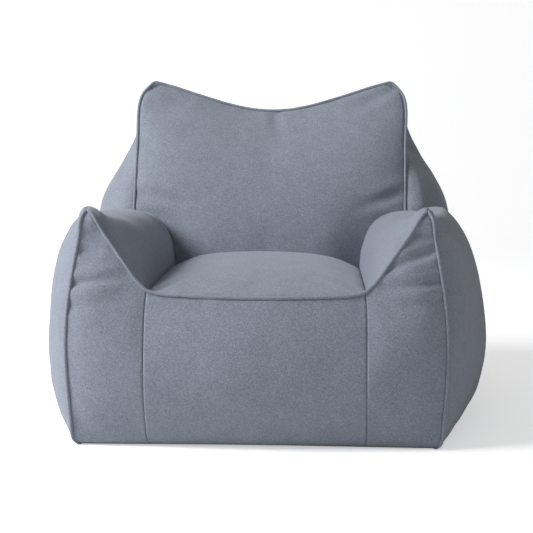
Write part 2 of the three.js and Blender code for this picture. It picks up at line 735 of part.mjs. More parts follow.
// The tab lies along the zip; its eye leaves room for the arch at every angle.
function pullTabGeometry() {
  const halfWidth = TAB_WIDTH / 2;
  const halfBar = TAB_BAR / 2;
  const eyeHalf = BRIDGE_WIDTH / 2 + TAB_CLEARANCE;
  const eyeEnd = Math.hypot(BRIDGE_LENGTH / 2, archRoof + SLIDER_WALL) + TAB_CLEARANCE;
  const outline = new THREE.Shape();
  outline.moveTo(halfBar, -halfWidth);
  outline.lineTo(halfBar, halfWidth);
  outline.lineTo(halfWidth - TAB_LENGTH, halfWidth);
  outline.absarc(halfWidth - TAB_LENGTH, 0, halfWidth, Math.PI / 2, (3 * Math.PI) / 2, false);
  outline.closePath();
  const eye = new THREE.Path();
  eye.moveTo(-halfBar, -eyeHalf);
  eye.lineTo(-eyeEnd, -eyeHalf);
  eye.lineTo(-eyeEnd, eyeHalf);
  eye.lineTo(-halfBar, eyeHalf);
  eye.closePath();
  outline.holes.push(eye);
  return new THREE.ExtrudeGeometry(outline, {
    depth: TAB_THICKNESS,
    bevelEnabled: false,
    curveSegments: 8,
  })
    .translate(0, 0, -TAB_THICKNESS / 2)
    .rotateX(Math.PI / 2);
}

addZipTrack();
const sliderGroup = new THREE.Group();
sliderGroup.position.copy(pivot);
addNode("zip_slider", sliderGeometry(), ZIP_METAL, sliderGroup);
addNode("zip_pull_tab", pullTabGeometry(), ZIP_METAL, sliderGroup);
chair.add(sliderGroup);

// ---- Care label ---------------------------------------------------------------------------
// It hangs from the seam under the zip, flat against the leaning panel below.
function addLabel() {
  const holder = new THREE.Group();
  const drop = ZIP_HEIGHT - TAPE_WIDTH;
  holder.position.set(-LABEL_OFFSET, zipFace, drop);
  holder.rotation.x = -Math.atan2(ZIP_SETBACK, drop);
  const low = at(-LABEL_WIDTH / 2, LAYER_GAP, -LABEL_LENGTH);
  const high = at(LABEL_WIDTH / 2, LAYER_GAP + LABEL_THICKNESS, 0);
  addNode("care_label", boxBetween(low, high), LABEL_CLOTH, holder);
  chair.add(holder);
}

addLabel();

// ---- The origin goes to the floor, under the middle of the chair --------------------------
const bounds = new THREE.Box3().setFromObject(chair);
const centre = bounds.getCenter(at(0, 0, 0));
chair.position.set(-centre.x, -centre.y, -bounds.min.z);

export default chair;
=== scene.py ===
"""Bean bag armchair: the sewn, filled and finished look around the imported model."""

import math
from contextlib import contextmanager
from functools import cache
import bpy
import bmesh
import numpy as np
from bpy.props import FloatProperty, FloatVectorProperty, PointerProperty
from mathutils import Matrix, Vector
from mathutils.kdtree import KDTree


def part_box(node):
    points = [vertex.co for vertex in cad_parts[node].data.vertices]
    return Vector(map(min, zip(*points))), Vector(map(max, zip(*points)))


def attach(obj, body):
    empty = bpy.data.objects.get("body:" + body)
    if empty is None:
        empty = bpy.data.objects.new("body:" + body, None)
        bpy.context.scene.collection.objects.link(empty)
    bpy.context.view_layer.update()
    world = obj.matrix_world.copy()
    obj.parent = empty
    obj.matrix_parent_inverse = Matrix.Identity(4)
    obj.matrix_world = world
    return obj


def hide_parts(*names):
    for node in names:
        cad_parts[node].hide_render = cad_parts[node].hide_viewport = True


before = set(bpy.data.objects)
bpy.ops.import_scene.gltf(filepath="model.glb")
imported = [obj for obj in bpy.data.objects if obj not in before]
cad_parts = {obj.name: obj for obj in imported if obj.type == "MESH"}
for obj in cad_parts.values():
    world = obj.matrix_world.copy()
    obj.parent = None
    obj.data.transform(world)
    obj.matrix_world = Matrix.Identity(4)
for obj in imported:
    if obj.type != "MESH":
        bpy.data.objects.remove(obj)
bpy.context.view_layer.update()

bl_info = {
    "name": "Bean Bag Armchair",
    "version": (1, 0, 0),
    "blender": (4, 5, 0),
    "location": "View3D > Sidebar > Armchair",
    "description": "Sews, fills and finishes a shaped bean bag armchair",
    "category": "Object",
}

BODY = "chair"
MM = 0.001
TINY = 1e-6  # metres
RIGHT, LEFT = 1, -1
SIDES = {"right": RIGHT, "left": LEFT}
PANELS = (
    "front_center_panel",
    "front_left_panel",
    "front_right_panel",
    "seat_panel",
    "arm_left_panel",
    "arm_right_panel",
    "backrest_panel",
    "side_left_panel",
    "side_right_panel",
    "rear_upper_panel",
    "rear_lower_panel",
    "base_panel",
    "zip_tape_upper",
    "zip_tape_lower",
)


# ---- Sizes and colours that a user would change ------------------------------------------


def length(name, description, default):
    return FloatProperty(name=name, description=description, default=default, unit="LENGTH", precision=4)


def tint(name, description, default):
    return FloatVectorProperty(name=name, description=description, default=default, subtype="COLOR", size=3)


class ArmchairSizes(bpy.types.PropertyGroup):
    front_bow: length("Front bow", "How far the upright front seams bow forward", 0.038)
    outer_bow: length("Outer seam bow", "Sideways bow of the outer front seams", 0.022)
    seat_edge_bow: length("Seat edge bow", "Forward bow of the seat's front edge", 0.012)
    seat_edge_sag: length("Seat edge sag", "Drop of the seat's front edge", 0.005)
    seat_crown: length("Seat crown", "Swell of the seat before it is filled", 0.036)
    front_crown: length("Front crown", "Swell of the front before it is filled", 0.007)
    arm_crown: length("Arm crown", "Swell of an arm's inner side", 0.030)
    back_crown: length("Back crown", "Swell of the backrest before it is filled", 0.038)
    back_dip: length("Back dip", "Dip of the backrest's top edge", 0.070)
    shoulder: length("Shoulder", "Round of the backrest's top corners", 0.034)
    side_crown: length("Side crown", "Swell of a side before it is filled", 0.050)
    side_base_bow: length("Side base bow", "Outward bow of a side's base edge", 0.080)
    rear_crown: length("Rear crown", "Swell of the rear before it is filled", 0.022)
    waist_width: length("Waist", "Half of the rear panel's greatest width", 0.385)
    waist_height: length("Waist height", "Height of that greatest width", 0.270)
    waist_setback: length("Waist setback", "Waist behind the rear base edge", 0.046)
    swell_limit: length("Swell limit", "How far filling may move the cloth", 0.020)
    piping_radius: length("Piping radius", "Radius of the piped cords", 0.0034)
    cloth_thickness: length("Cloth thickness", "Brushed fabric with its backing", 0.0018)


class ArmchairColours(bpy.types.PropertyGroup):
    nap: tint("Nap", "Brushed fabric", (0.216, 0.243, 0.298))
    # The tip and root colours are lighter and darker copies of the nap colour: painted light on the raised
    # pile and painted shade at its roots.
    lit_nap_tip: tint("Nap tips", "Light fibre tips of the fabric", (0.332, 0.358, 0.412))
    shaded_nap_root: tint("Nap roots", "Shaded fibre roots of the fabric", (0.135, 0.150, 0.185))
    tape: tint("Zip tape", "Woven tape of the zip", (0.150, 0.165, 0.200))
    teeth: tint("Zip teeth", "Moulded coil of the zip", (0.105, 0.116, 0.142))
    metal: tint("Zip metal", "Slider, pull tab and stops", (0.30, 0.31, 0.33))
    liner: tint("Liner", "Woven inner bag", (0.74, 0.73, 0.69))
    bead: tint("Beads", "Expanded polystyrene beads", (0.86, 0.86, 0.83))
    label: tint("Label", "Blank care label", (0.70, 0.69, 0.65))


def sizes():
    return bpy.context.scene.armchair_sizes


def colours():
    return bpy.context.scene.armchair_colours


# ---- Corners, seams and patches of the cover ----------------------------------------------

SEAT_STEPS = 36  # across the seat
ARM_STEPS = 16  # across an arm
DEPTH_STEPS = 36  # along an arm
BACK_STEPS = 26  # up the backrest above the arms
REAR_STEPS = 34  # up the rear above the zip
TAPE_ROWS = 2
LOWER_ROWS = 6  # rear below the zip
UPRIGHT_STEPS = REAR_STEPS + TAPE_ROWS + LOWER_ROWS


def corner_of(node, towards):
    """The point of a CAD node that lies furthest one way."""
    points = points_of(bpy.data.objects[node].data)
    return points[np.argmax(points @ np.array(towards, float))]


def right_corners():
    return {
        "seat_front": corner_of("front_center_panel", (1, 0, 1)),
        "seat_foot": corner_of("front_right_panel", (-1, 0, -2)),
        "front_foot": corner_of("front_right_panel", (1, 0, -2)),
        "arm_tip": corner_of("front_right_panel", (0, 0, 1)),
        "arm_end": corner_of("arm_right_panel", (1, 2, 0)),
        "seat_rear": corner_of("seat_panel", (1, 1, 0)),
        "back_top": corner_of("backrest_panel", (0.2, 0, 1)),
        "zip_top": corner_of("rear_upper_panel", (1, 0, -2)),
        "zip_bottom": corner_of("rear_lower_panel", (1, 0, 2)),
        "rear_foot": corner_of("rear_lower_panel", (1, 0, -2)),
    }


SPLINE_STEPS = 40  # fine steps between two of the given points


def curve_at(level, knots, t):
    """Points on the smooth curve between the middle two of four points."""
    for spans in (((0, 1), (1, 2), (2, 3)), ((0, 2), (1, 3)), ((1, 2),)):
        level = [
            (knots[b] - t) / (knots[b] - knots[a]) * p + (t - knots[a]) / (knots[b] - knots[a]) * q
            for (a, b), p, q in zip(spans, level, level[1:])
        ]
    return level[0]


def spline(points, steps):
    """Evenly spaced points on a smooth curve through the given points."""
    points = np.array(points, float)
    ends = [2 * points[0] - points[1], *points, 2 * points[-1] - points[-2]]
    fine = []
    for four in zip(ends, ends[1:], ends[2:], ends[3:]):
        knots = np.cumsum([0, *(np.linalg.norm(b - a) ** 0.5 for a, b in zip(four, four[1:]))])
        t = np.linspace(knots[1], knots[2], SPLINE_STEPS, endpoint=False)
        fine += list(curve_at(four, knots, t[:, None]))
    fine = np.array([*fine, points[-1]])
    along = np.cumsum([0, *np.linalg.norm(np.diff(fine, axis=0), axis=1)])
    wanted = np.linspace(0, along[-1], steps + 1)
    return np.stack([np.interp(wanted, along, fine[:, k]) for k in range(3)], axis=1)


def swell(t, early, late):
    """0 at both ends and 1 at its peak."""
    peak = early / (early + late)
    return (t**early * (1 - t) ** late) / (peak**early * (1 - peak) ** late)


class Cover:
    """The cover as one skin: points, seams (lists of point numbers) and panels of quads."""

    def __init__(self):
        self.points = []
        self.quads = []
        self.panel_of_quad = []
        self.seams = {}

    def add(self, point):
        self.points.append(np.array(point, float))
        return len(self.points) - 1

    def sew(self, name, start, end, steps, route=(), curve=None):
        line = curve
        if line is None:
            line = spline([self.points[start], *route, self.points[end]], steps)
        inner = [self.add(p) for p in line[1:-1]]
        self.seams[name] = [start, *inner, end]

    def fill(self, panel, bottom, top, left, right, towards, depth, across, up):
        """A smooth patch between four seams, which swells one way."""
        towards = np.array(towards, float) / np.linalg.norm(towards)
        p = self.points
        rows, columns = len(left) - 1, len(bottom) - 1
        corners = [p[bottom[0]], p[bottom[-1]], p[top[0]], p[top[-1]]]
        grid = [list(bottom)]
        for j in range(1, rows):
            v = j / rows
            row = [left[j]]
            for i in range(1, columns):
                u = i / columns
                point = (1 - v) * p[bottom[i]] + v * p[top[i]]
                point = point + (1 - u) * p[left[j]] + u * p[right[j]]
                point = point - (1 - u) * (1 - v) * corners[0] - u * (1 - v) * corners[1]
                point = point - (1 - u) * v * corners[2] - u * v * corners[3]
                rise = depth * swell(u, *across) * swell(v, *up)
                row.append(self.add(point + rise * towards))
            grid.append([*row, right[j]])
        grid.append(list(top))
        quads = [
            (grid[j][i], grid[j][i + 1], grid[j + 1][i + 1], grid[j + 1][i])
            for j in range(rows)
            for i in range(columns)
        ]
        total = sum(np.cross(p[c] - p[a], p[d] - p[b]) for a, b, c, d in quads)
        if total @ towards < 0:
            quads = [quad[::-1] for quad in quads]
        self.quads += quads
        self.panel_of_quad += [PANELS.index(panel)] * len(quads)


BASE_RINGS = (0.88, 0.66, 0.4, 0.18)  # shares of the way out from the base's middle


def fill_base(cover):
    """The flat base: rings inside its edge, closed in the middle."""
    q = cover.seams
    runs = (
        q["left_arm_base"][::-1],
        q["front_base"],
        q["right_arm_base"],
        q["right_side_base"],
        q["rear_base"][::-1],
        q["left_side_base"][::-1],
    )
    ring = [i for run in runs for i in run[:-1]]
    middle = np.mean([cover.points[i] for i in ring], axis=0)
    edge, count, quads = ring, len(ring), []
    for share in BASE_RINGS:
        inner = [cover.add(middle + share * (cover.points[i] - middle)) for i in edge]
        for i in range(count):
            after = (i + 1) % count
            quads.append((ring[i], inner[i], inner[after], ring[after]))
        ring = inner
    centre = cover.add(middle)
    quads += [(ring[i], centre, ring[(i + 2) % count], ring[i + 1]) for i in range(0, count, 2)]
    cover.quads += quads
    cover.panel_of_quad += [PANELS.index("base_panel")] * len(quads)


def arch(start, end, steps):
    """A quarter of an ellipse that rises from one point and runs level into the other."""
    angles = np.linspace(0, math.pi / 2, steps + 1)
    across, up = 1 - np.cos(angles), np.sin(angles)
    way = np.array(end) - np.array(start)
    return np.array(start) + np.stack([way[0] * across, way[1] * up, way[2] * up], axis=1)


def mirrored(point, side):
    return np.array([side * point[0], point[1], point[2]])


RIDGE_BOW = 0.014  # sideways bow of an arm's outer top seam
BACK_SIDE_BOW = 0.016  # sideways bow of the backrest's side seams
OUTER_FRONT_SHARE = 0.6  # forward bow of the outer front seams, over that of the inner ones
SHOULDER_WAY = np.array((0.85, -0.45, -1))  # from a top corner to where its round starts


def sew_side(cover, name, side, corners):
    """All seams of one side."""
    s = sizes()
    c = {key: cover.add(mirrored(point, side)) for key, point in corners.items()}
    p = cover.points
    c["zip_middle"] = cover.add((p[c["zip_top"]] + p[c["zip_bottom"]]) / 2)

    def middle(a, b, bow):
        return (p[c[a]] + p[c[b]]) / 2 + mirrored(bow, side)

    def sew(seam, a, b, steps, *route):
        cover.sew(f"{name}_{seam}", c[a], c[b], steps, route)

    top, foot = p[c["back_top"]], p[c["rear_foot"]]
    shoulder = top + mirrored(SHOULDER_WAY * s.shoulder, side)
    waist = np.array([side * s.waist_width, foot[1] + s.waist_setback, s.waist_height])
    bowed = middle("seat_foot", "seat_front", (0, -s.front_bow, 0))
    sew("front_upright", "seat_foot", "seat_front", UPRIGHT_STEPS, bowed)
    bowed = middle("front_foot", "arm_tip", (s.outer_bow, -OUTER_FRONT_SHARE * s.front_bow, 0))
    sew("outer_upright", "front_foot", "arm_tip", UPRIGHT_STEPS, bowed)
    sew("arm_base", "seat_foot", "front_foot", ARM_STEPS)
    sew("arm_diagonal", "seat_front", "arm_tip", ARM_STEPS)
    bowed = middle("arm_tip", "arm_end", (RIDGE_BOW, 0, 0))
    sew("arm_ridge", "arm_tip", "arm_end", DEPTH_STEPS, bowed)
    rear_arch = arch(p[c["seat_rear"]], p[c["arm_end"]], ARM_STEPS)
    cover.sew(f"{name}_arm_rear", c["seat_rear"], c["arm_end"], ARM_STEPS, curve=rear_arch)
    sew("seat_side", "seat_front", "seat_rear", DEPTH_STEPS)
    bowed = middle("arm_end", "back_top", (BACK_SIDE_BOW, 0, 0))
    sew("back_side", "arm_end", "back_top", BACK_STEPS, bowed, shoulder)
    sew("rear_lower", "rear_foot", "zip_bottom", LOWER_ROWS)
    cover.seams[f"{name}_rear_tape"] = [c["zip_bottom"], c["zip_middle"], c["zip_top"]]
    sew("rear_upper", "zip_top", "back_top", REAR_STEPS, waist)
    bowed = middle("front_foot", "rear_foot", (s.side_base_bow, 0, 0))
    sew("side_base", "front_foot", "rear_foot", DEPTH_STEPS + BACK_STEPS, bowed)
    return c


def sew_cover():
    """The cover before it is filled."""
    s = sizes()
    cover = Cover()
    corners = right_corners()
    right = sew_side(cover, "right", RIGHT, corners)
    left = sew_side(cover, "left", LEFT, corners)
    p = cover.points

    def across(name, key, *route):
        cover.sew(name, left[key], right[key], SEAT_STEPS, route)

    edge, top = corners["seat_front"], corners["back_top"]
    across("seat_edge", "seat_front", (0, edge[1] - s.seat_edge_bow, edge[2] - s.seat_edge_sag))
    across("front_base", "seat_foot")
    across("seat_crease", "seat_rear")
    across("back_edge", "back_top", (0, top[1], top[2] - s.back_dip))
    across("zip_top", "zip_top")
    across("zip_middle", "zip_middle")
    across("zip_bottom", "zip_bottom")
    across("rear_base", "rear_foot")
    fill_patches(cover)
    fill_base(cover)
    return cover


# How a patch swells along a side: the lower the two numbers, the fuller it is near its ends.
FULL, PLUMP, SOFT, ROUND, EVEN = (0.6, 0.6), (0.7, 0.7), (0.8, 0.8), (0.9, 0.9), (1, 1)
SIDE_ALONG, SIDE_UP = (0.6, 0.8), (0.5, 0.4)
BACK_WAY = (0, -0.86, 0.5)  # the way that the backrest swells
REAR_WAY = (0, 1, 0.2)
FRONT_TURN, ARM_TURN = 0.15, 0.1  # how far outer fronts swell outwards, and arms inwards


def fill_patches(cover):
    """All panels between the seams, apart from the base."""
    s, q = sizes(), cover.seams

    def pair(seam):
        return q[f"left_{seam}"], q[f"right_{seam}"]

    def patch(panel, bottom, top, sides, towards, depth, across, up):
        cover.fill(panel, q[bottom], q[top], *sides, towards, depth, across, up)

    front, seat_sides = pair("front_upright"), pair("seat_side")
    patch("front_center_panel", "front_base", "seat_edge", front, (0, -1, 0), s.front_crown, ROUND, PLUMP)
    patch("seat_panel", "seat_edge", "seat_crease", seat_sides, (0, 0, 1), s.seat_crown, FULL, FULL)
    backs = [q[f"{n}_arm_rear"] + q[f"{n}_back_side"][1:] for n in ("left", "right")]
    patch("backrest_panel", "seat_crease", "back_edge", backs, BACK_WAY, s.back_crown, FULL, SOFT)
    rears = pair("rear_upper")
    patch("rear_upper_panel", "zip_top", "back_edge", rears, REAR_WAY, s.rear_crown, PLUMP, PLUMP)
    tapes = (("lower", "zip_bottom", "zip_middle"), ("upper", "zip_middle", "zip_top"))
    for row, (tape, low, high) in enumerate(tapes):
        ends = [line[row : row + 2] for line in pair("rear_tape")]
        patch(f"zip_tape_{tape}", low, high, ends, (0, 1, 0), 0, EVEN, EVEN)
    patch("rear_lower_panel", "rear_base", "zip_bottom", pair("rear_lower"), (0, 1, 0), 0, EVEN, EVEN)
    for name, side in SIDES.items():
        own = {key.removeprefix(f"{name}_"): line for key, line in q.items() if key.startswith(name)}
        base, diagonal, ridge = own["arm_base"], own["arm_diagonal"], own["arm_ridge"]
        inner, outer = own["front_upright"], own["outer_upright"]
        cover.fill(f"front_{name}_panel", base, diagonal, inner, outer,
                   (side * FRONT_TURN, -1, 0), s.front_crown, ROUND, PLUMP)
        cover.fill(f"arm_{name}_panel", diagonal, own["arm_rear"], own["seat_side"], ridge,
                   (-side * ARM_TURN, 0, 1), s.arm_crown, FULL, FULL)
        rear = own["rear_lower"] + own["rear_tape"][1:] + own["rear_upper"][1:]
        top = ridge + own["back_side"][1:]
        cover.fill(f"side_{name}_panel", own["side_base"], top, outer, rear,
                   (side, 0, 0), s.side_crown, SIDE_ALONG, SIDE_UP)


# ---- Filling: the cover as cloth, blown up from inside ------------------------------------

FILL_FRAMES = 24
FILL = {
    "quality": 6,
    "mass": 0.3,
    "tension_stiffness": 18,
    "compression_stiffness": 18,
    "shear_stiffness": 6,
    "bending_stiffness": 2.5,
    "vertex_group_mass": "held",
    "use_pressure": True,
    "uniform_pressure_force": 4,
    "shrink_min": -0.015,
}
UPRIGHT_SEAMS = ("outer_upright", "arm_diagonal", "back_side")
SHARP_SEAMS = (*UPRIGHT_SEAMS, "seat_side", "arm_rear", "side_base", "arm_base")
LEVEL_SEAMS = ("seat_edge", "back_edge", "zip_top")
SHARP_CROSSINGS = (*LEVEL_SEAMS, "front_base", "seat_crease", "zip_bottom", "rear_base")
HELD_SEAMS = (*SHARP_SEAMS, "rear_lower", "rear_tape")
HELD_CROSSINGS = (*SHARP_CROSSINGS, "zip_middle")


def seams_named(cover, side_seams, crossings):
    names = [f"{side}_{seam}" for side in SIDES for seam in side_seams]
    return [cover.seams[name] for name in (*names, *crossings)]


def mesh_of(name, points, faces, materials=None):
    mesh = bpy.data.meshes.new(name)
    mesh.from_pydata([tuple(p) for p in points], [], [tuple(int(i) for i in f) for f in faces])
    if materials is not None:
        mesh.polygons.foreach_set("material_index", materials)
    mesh.update()
    return mesh


@contextmanager
def edited(mesh):
    """The mesh opened for editing, and written back afterwards."""
    work = bmesh.new()
    work.from_mesh(mesh)
    yield work
    work.to_mesh(mesh)
    work.free()


def object_of(name, mesh):
    obj = bpy.data.objects.new(name, mesh)
    bpy.context.scene.collection.objects.link(obj)
    return obj


def points_of(mesh):
    points = np.empty(3 * len(mesh.vertices))
    mesh.vertices.foreach_get("co", points)
    return points.reshape(-1, 3)


BACK_EASE_ROUNDS = 40
BACK_EASE_HEIGHT = 0.05  # how far above and below the arms the backrest is eased


def ease_backrest(cover, points):
    """Smooths the backrest where its outline turns from the arms to its own sides."""
    quads, panels = np.array(cover.quads), np.array(cover.panel_of_quad)
    inner = np.setdiff1d(
        quads[panels == PANELS.index("backrest_panel")],
        quads[panels != PANELS.index("backrest_panel")],
    )
    level = right_corners()["arm_end"][2]
    share = np.exp(-(((points[inner, 2] - level) / BACK_EASE_HEIGHT) ** 2))[:, None]
    for _ in range(BACK_EASE_ROUNDS):
        points[inner] += share * (neighbour_mean(points, quads)[inner] - points[inner])


SLACK_ROUNDS = 5  # rounds of easing that leave only the larger wrinkles of the filled cloth
FRONT_SLACK_ROUNDS = 30  # the front is pulled smooth


def ease_wrinkles(cover, move):
    """Smooths the way that the filling moved the cloth."""
    quads, panels = np.array(cover.quads), np.array(cover.panel_of_quad)
    front = np.unique(quads[panels == PANELS.index("front_center_panel")])
    still = np.linalg.norm(move, axis=1) < TINY
    for n in range(FRONT_SLACK_ROUNDS):
        mean = neighbour_mean(move, quads)
        mean[still] = move[still]
        if n < SLACK_ROUNDS:
            move = (move + mean) / 2
        else:
            move[front] = (move[front] + mean[front]) / 2
    return move


def fill_cover(cover):
    """Moves the cover's points to where the filling pushes the cloth."""
    start = np.array(cover.points)
    ease_backrest(cover, start)
    obj = object_of("cover_cloth", mesh_of("cover_cloth", start, cover.quads))
    base = PANELS.index("base_panel")
    floor = {i for quad, panel in zip(cover.quads, cover.panel_of_quad) if panel == base for i in quad}
    held = {i for line in seams_named(cover, HELD_SEAMS, HELD_CROSSINGS) for i in line}
    obj.vertex_groups.new(name="held").add(sorted(held | floor), 1.0, "REPLACE")
    cloth = obj.modifiers.new("Cloth", "CLOTH").settings
    for setting, value in FILL.items():
        setattr(cloth, setting, value)
    cloth.effector_weights.gravity = 0
    scene = bpy.context.scene
    for number in range(1, FILL_FRAMES + 1):
        scene.frame_set(number)
    filled = obj.evaluated_get(bpy.context.evaluated_depsgraph_get()).to_mesh()
    move = points_of(filled) - start
    bpy.data.objects.remove(obj)
    scene.frame_set(1)
    far = np.linalg.norm(move, axis=1, keepdims=True)
    limit = sizes().swell_limit
    move *= np.where(far > 0, limit * np.tanh(far / limit) / np.maximum(far, 1e-9), 0)
    end = start + ease_wrinkles(cover, move)
    end[:, 2] = np.maximum(end[:, 2], 0)
    return end


class Skin:
    """The filled cover, finer: points, outward normals, quads and each quad's panel."""

    def __init__(self, points, quads, panels):
        self.points, self.quads, self.panels = points, quads, panels
        self.normals = outward(points, quads)


def outward(points, quads):
    """Each point's outward normal."""
    a, b, c, d = (points[quads[:, k]] for k in range(4))
    faces = np.cross(c - a, d - b)
    faces /= np.maximum(np.linalg.norm(faces, axis=1, keepdims=True), 1e-12)
    total = np.zeros_like(points)
    for k in range(4):
        np.add.at(total, quads[:, k], faces)
    return total / np.maximum(np.linalg.norm(total, axis=1, keepdims=True), 1e-12)


def neighbour_mean(points, quads):
    """The mean of each point's neighbours along the quads' sides."""
    ends = np.vstack([quads[:, (k, (k + 1) % 4)] for k in range(4)])
    total = np.zeros_like(points)
    np.add.at(total, ends[:, 0], points[ends[:, 1]])
    np.add.at(total, ends[:, 1], points[ends[:, 0]])
    return total / np.bincount(ends.ravel(), minlength=len(points))[:, None]


def refine(cover, points):
    """Smooths the filled cover once, with its piped seams and creases kept sharp."""
    mesh = mesh_of("cover_fine", points, cover.quads, cover.panel_of_quad)
    sharp = set()
    for line in seams_named(cover, SHARP_SEAMS, SHARP_CROSSINGS):
        sharp |= {tuple(sorted(pair)) for pair in zip(line, line[1:])}
    crease = mesh.attributes.new("crease_edge", "FLOAT", "EDGE")
    ends = np.empty(2 * len(mesh.edges), dtype=np.int32)
    mesh.edges.foreach_get("vertices", ends)
    marks = [float(tuple(sorted(pair)) in sharp) for pair in ends.reshape(-1, 2).tolist()]
    crease.data.foreach_set("value", marks)
    obj = object_of("cover_fine", mesh)
    smooth = obj.modifiers.new("Smooth", "SUBSURF")
    smooth.levels = smooth.render_levels = 1
    fine = obj.evaluated_get(bpy.context.evaluated_depsgraph_get()).to_mesh()
    quads = np.empty(4 * len(fine.polygons), dtype=np.int32)
    fine.polygons.foreach_get("vertices", quads)
    panels = np.empty(len(fine.polygons), dtype=np.int32)
    fine.polygons.foreach_get("material_index", panels)
    skin = Skin(points_of(fine).copy(), quads.reshape(-1, 4).copy(), panels.copy())
    bpy.data.objects.remove(obj)
    return skin


# Folds that the slack cloth takes: a panel, two ends in the plane that the panel faces,
# the half width and the depth. A negative depth is a ridge.
FRONT_PLANE, SIDE_PLANE, TOP_PLANE = (0, 2), (1, 2), (0, 1)
FOLDS = (
    ("front_left_panel", FRONT_PLANE, (-0.385, 0.338), (-0.262, 0.358), 0.009, 0.0062),
    ("front_left_panel", FRONT_PLANE, (-0.385, 0.410), (-0.315, 0.402), 0.008, 0.0042),
    ("front_left_panel", FRONT_PLANE, (-0.385, 0.295), (-0.300, 0.300), 0.011, 0.0030),
    ("front_right_panel", FRONT_PLANE, (0.362, 0.412), (0.245, 0.370), 0.009, 0.0068),
    ("front_right_panel", FRONT_PLANE, (0.378, 0.350), (0.258, 0.338), 0.008, 0.0058),
    ("front_right_panel", FRONT_PLANE, (0.355, 0.434), (0.296, 0.450), 0.007, 0.0040),
    ("front_right_panel", FRONT_PLANE, (0.385, 0.310), (0.300, 0.306), 0.010, 0.0036),
    ("backrest_panel", FRONT_PLANE, (-0.292, 0.712), (-0.170, 0.664), 0.011, 0.0034),
    ("backrest_panel", FRONT_PLANE, (-0.292, 0.676), (-0.170, 0.640), 0.011, 0.0040),
    ("backrest_panel", FRONT_PLANE, (0.290, 0.712), (0.190, 0.655), 0.011, 0.0040),
    ("backrest_panel", FRONT_PLANE, (0.008, 0.650), (0.020, 0.600), 0.013, 0.0046),
    ("backrest_panel", FRONT_PLANE, (-0.300, 0.470), (-0.205, 0.452), 0.013, 0.0060),
    ("backrest_panel", FRONT_PLANE, (0.300, 0.470), (0.215, 0.445), 0.012, 0.0060),
    ("seat_panel", TOP_PLANE, (0.218, -0.405), (0.120, -0.345), 0.013, 0.0052),
    ("seat_panel", TOP_PLANE, (-0.218, -0.405), (-0.150, -0.355), 0.012, 0.0042),
    ("seat_panel", TOP_PLANE, (-0.120, -0.020), (0.140, -0.028), 0.018, 0.0036),
    ("arm_left_panel", TOP_PLANE, (-0.230, -0.020), (-0.290, -0.060), 0.014, 0.0040),
    ("arm_right_panel", TOP_PLANE, (0.230, -0.020), (0.290, -0.055), 0.014, 0.0040),
    ("arm_right_panel", TOP_PLANE, (0.350, -0.330), (0.290, -0.300), 0.012, 0.0036),
    ("side_right_panel", SIDE_PLANE, (-0.400, 0.480), (-0.180, 0.400), 0.018, 0.0085),
    ("side_right_panel", SIDE_PLANE, (0.060, 0.445), (0.170, 0.350), 0.017, 0.0080),
    ("side_right_panel", SIDE_PLANE, (0.215, 0.600), (0.270, 0.540), 0.014, 0.0060),
    ("side_left_panel", SIDE_PLANE, (0.060, 0.445), (0.180, 0.360), 0.017, 0.0080),
    ("side_left_panel", SIDE_PLANE, (-0.400, 0.470), (-0.230, 0.410), 0.016, 0.0055),
    ("side_left_panel", SIDE_PLANE, (-0.300, 0.060), (-0.160, 0.110), 0.020, 0.0050),
    ("side_right_panel", SIDE_PLANE, (0.200, 0.070), (0.080, 0.130), 0.020, 0.0050),
    ("rear_upper_panel", FRONT_PLANE, (-0.300, 0.560), (-0.180, 0.530), 0.016, 0.0070),
    ("rear_upper_panel", FRONT_PLANE, (0.300, 0.560), (0.200, 0.520), 0.016, 0.0070),
    ("rear_upper_panel", FRONT_PLANE, (-0.330, 0.150), (-0.220, 0.230), 0.018, 0.0060),
    ("rear_upper_panel", FRONT_PLANE, (0.330, 0.150), (0.240, 0.240), 0.018, 0.0060),
)
SHOULDER_OF_FOLD = 0.4  # height of a fold's two raised shoulders, as a share of its depth
SHOULDER_PLACE = 1.9  # how far out they stand, in half widths
FOLD_FADE = 0.75  # share of a fold's depth that is lost at its far end

# Broad swells and hollows: a panel, its plane, the middle, the radius and the height.
SWELLS = (
    ("side_right_panel", SIDE_PLANE, (-0.080, 0.425), 0.150, 0.034),
    ("side_right_panel", SIDE_PLANE, (0.060, 0.500), 0.100, 0.020),
    ("side_right_panel", SIDE_PLANE, (0.220, 0.455), 0.090, 0.024),
    ("side_left_panel", SIDE_PLANE, (0.220, 0.455), 0.070, 0.018),
    ("side_left_panel", SIDE_PLANE, (-0.160, 0.420), 0.130, 0.012),
    ("side_left_panel", SIDE_PLANE, (-0.200, 0.190), 0.110, -0.012),
    ("rear_upper_panel", FRONT_PLANE, (0.0, 0.330), 0.260, 0.012),
    ("side_right_panel", SIDE_PLANE, (0.230, 0.600), 0.105, -0.022),
    ("side_left_panel", SIDE_PLANE, (0.230, 0.600), 0.105, -0.022),
    ("front_center_panel", FRONT_PLANE, (0.0, 0.170), 0.130, 0.006),
)


FORM = {}  # the sewn cover, its filled points and the finer skin, for the later operators


def free_points(skin):
    """Which points lie inside one panel, and on no seam."""
    owners = [set() for _ in skin.points]
    for quad, panel in zip(skin.quads.tolist(), skin.panels.tolist()):
        for i in quad:
            owners[i].add(panel)
    return np.array([len(owner) == 1 for owner in owners])


def inside_panel(skin, panel, free):
    """The numbers of a panel's points that lie on no seam."""
    members = np.unique(skin.quads[skin.panels == PANELS.index(panel)])
    return members[free[members]]


def swell_cloth(skin):
    """Raises the broad swells, which fade out at about their radius."""
    free = free_points(skin)
    for panel, plane, middle, radius, height in SWELLS:
        members = inside_panel(skin, panel, free)
        away = np.linalg.norm(skin.points[members][:, plane] - np.array(middle), axis=1) / radius
        rise = height * np.exp(-(away**2))
        skin.points[members] += skin.normals[members] * rise[:, None]


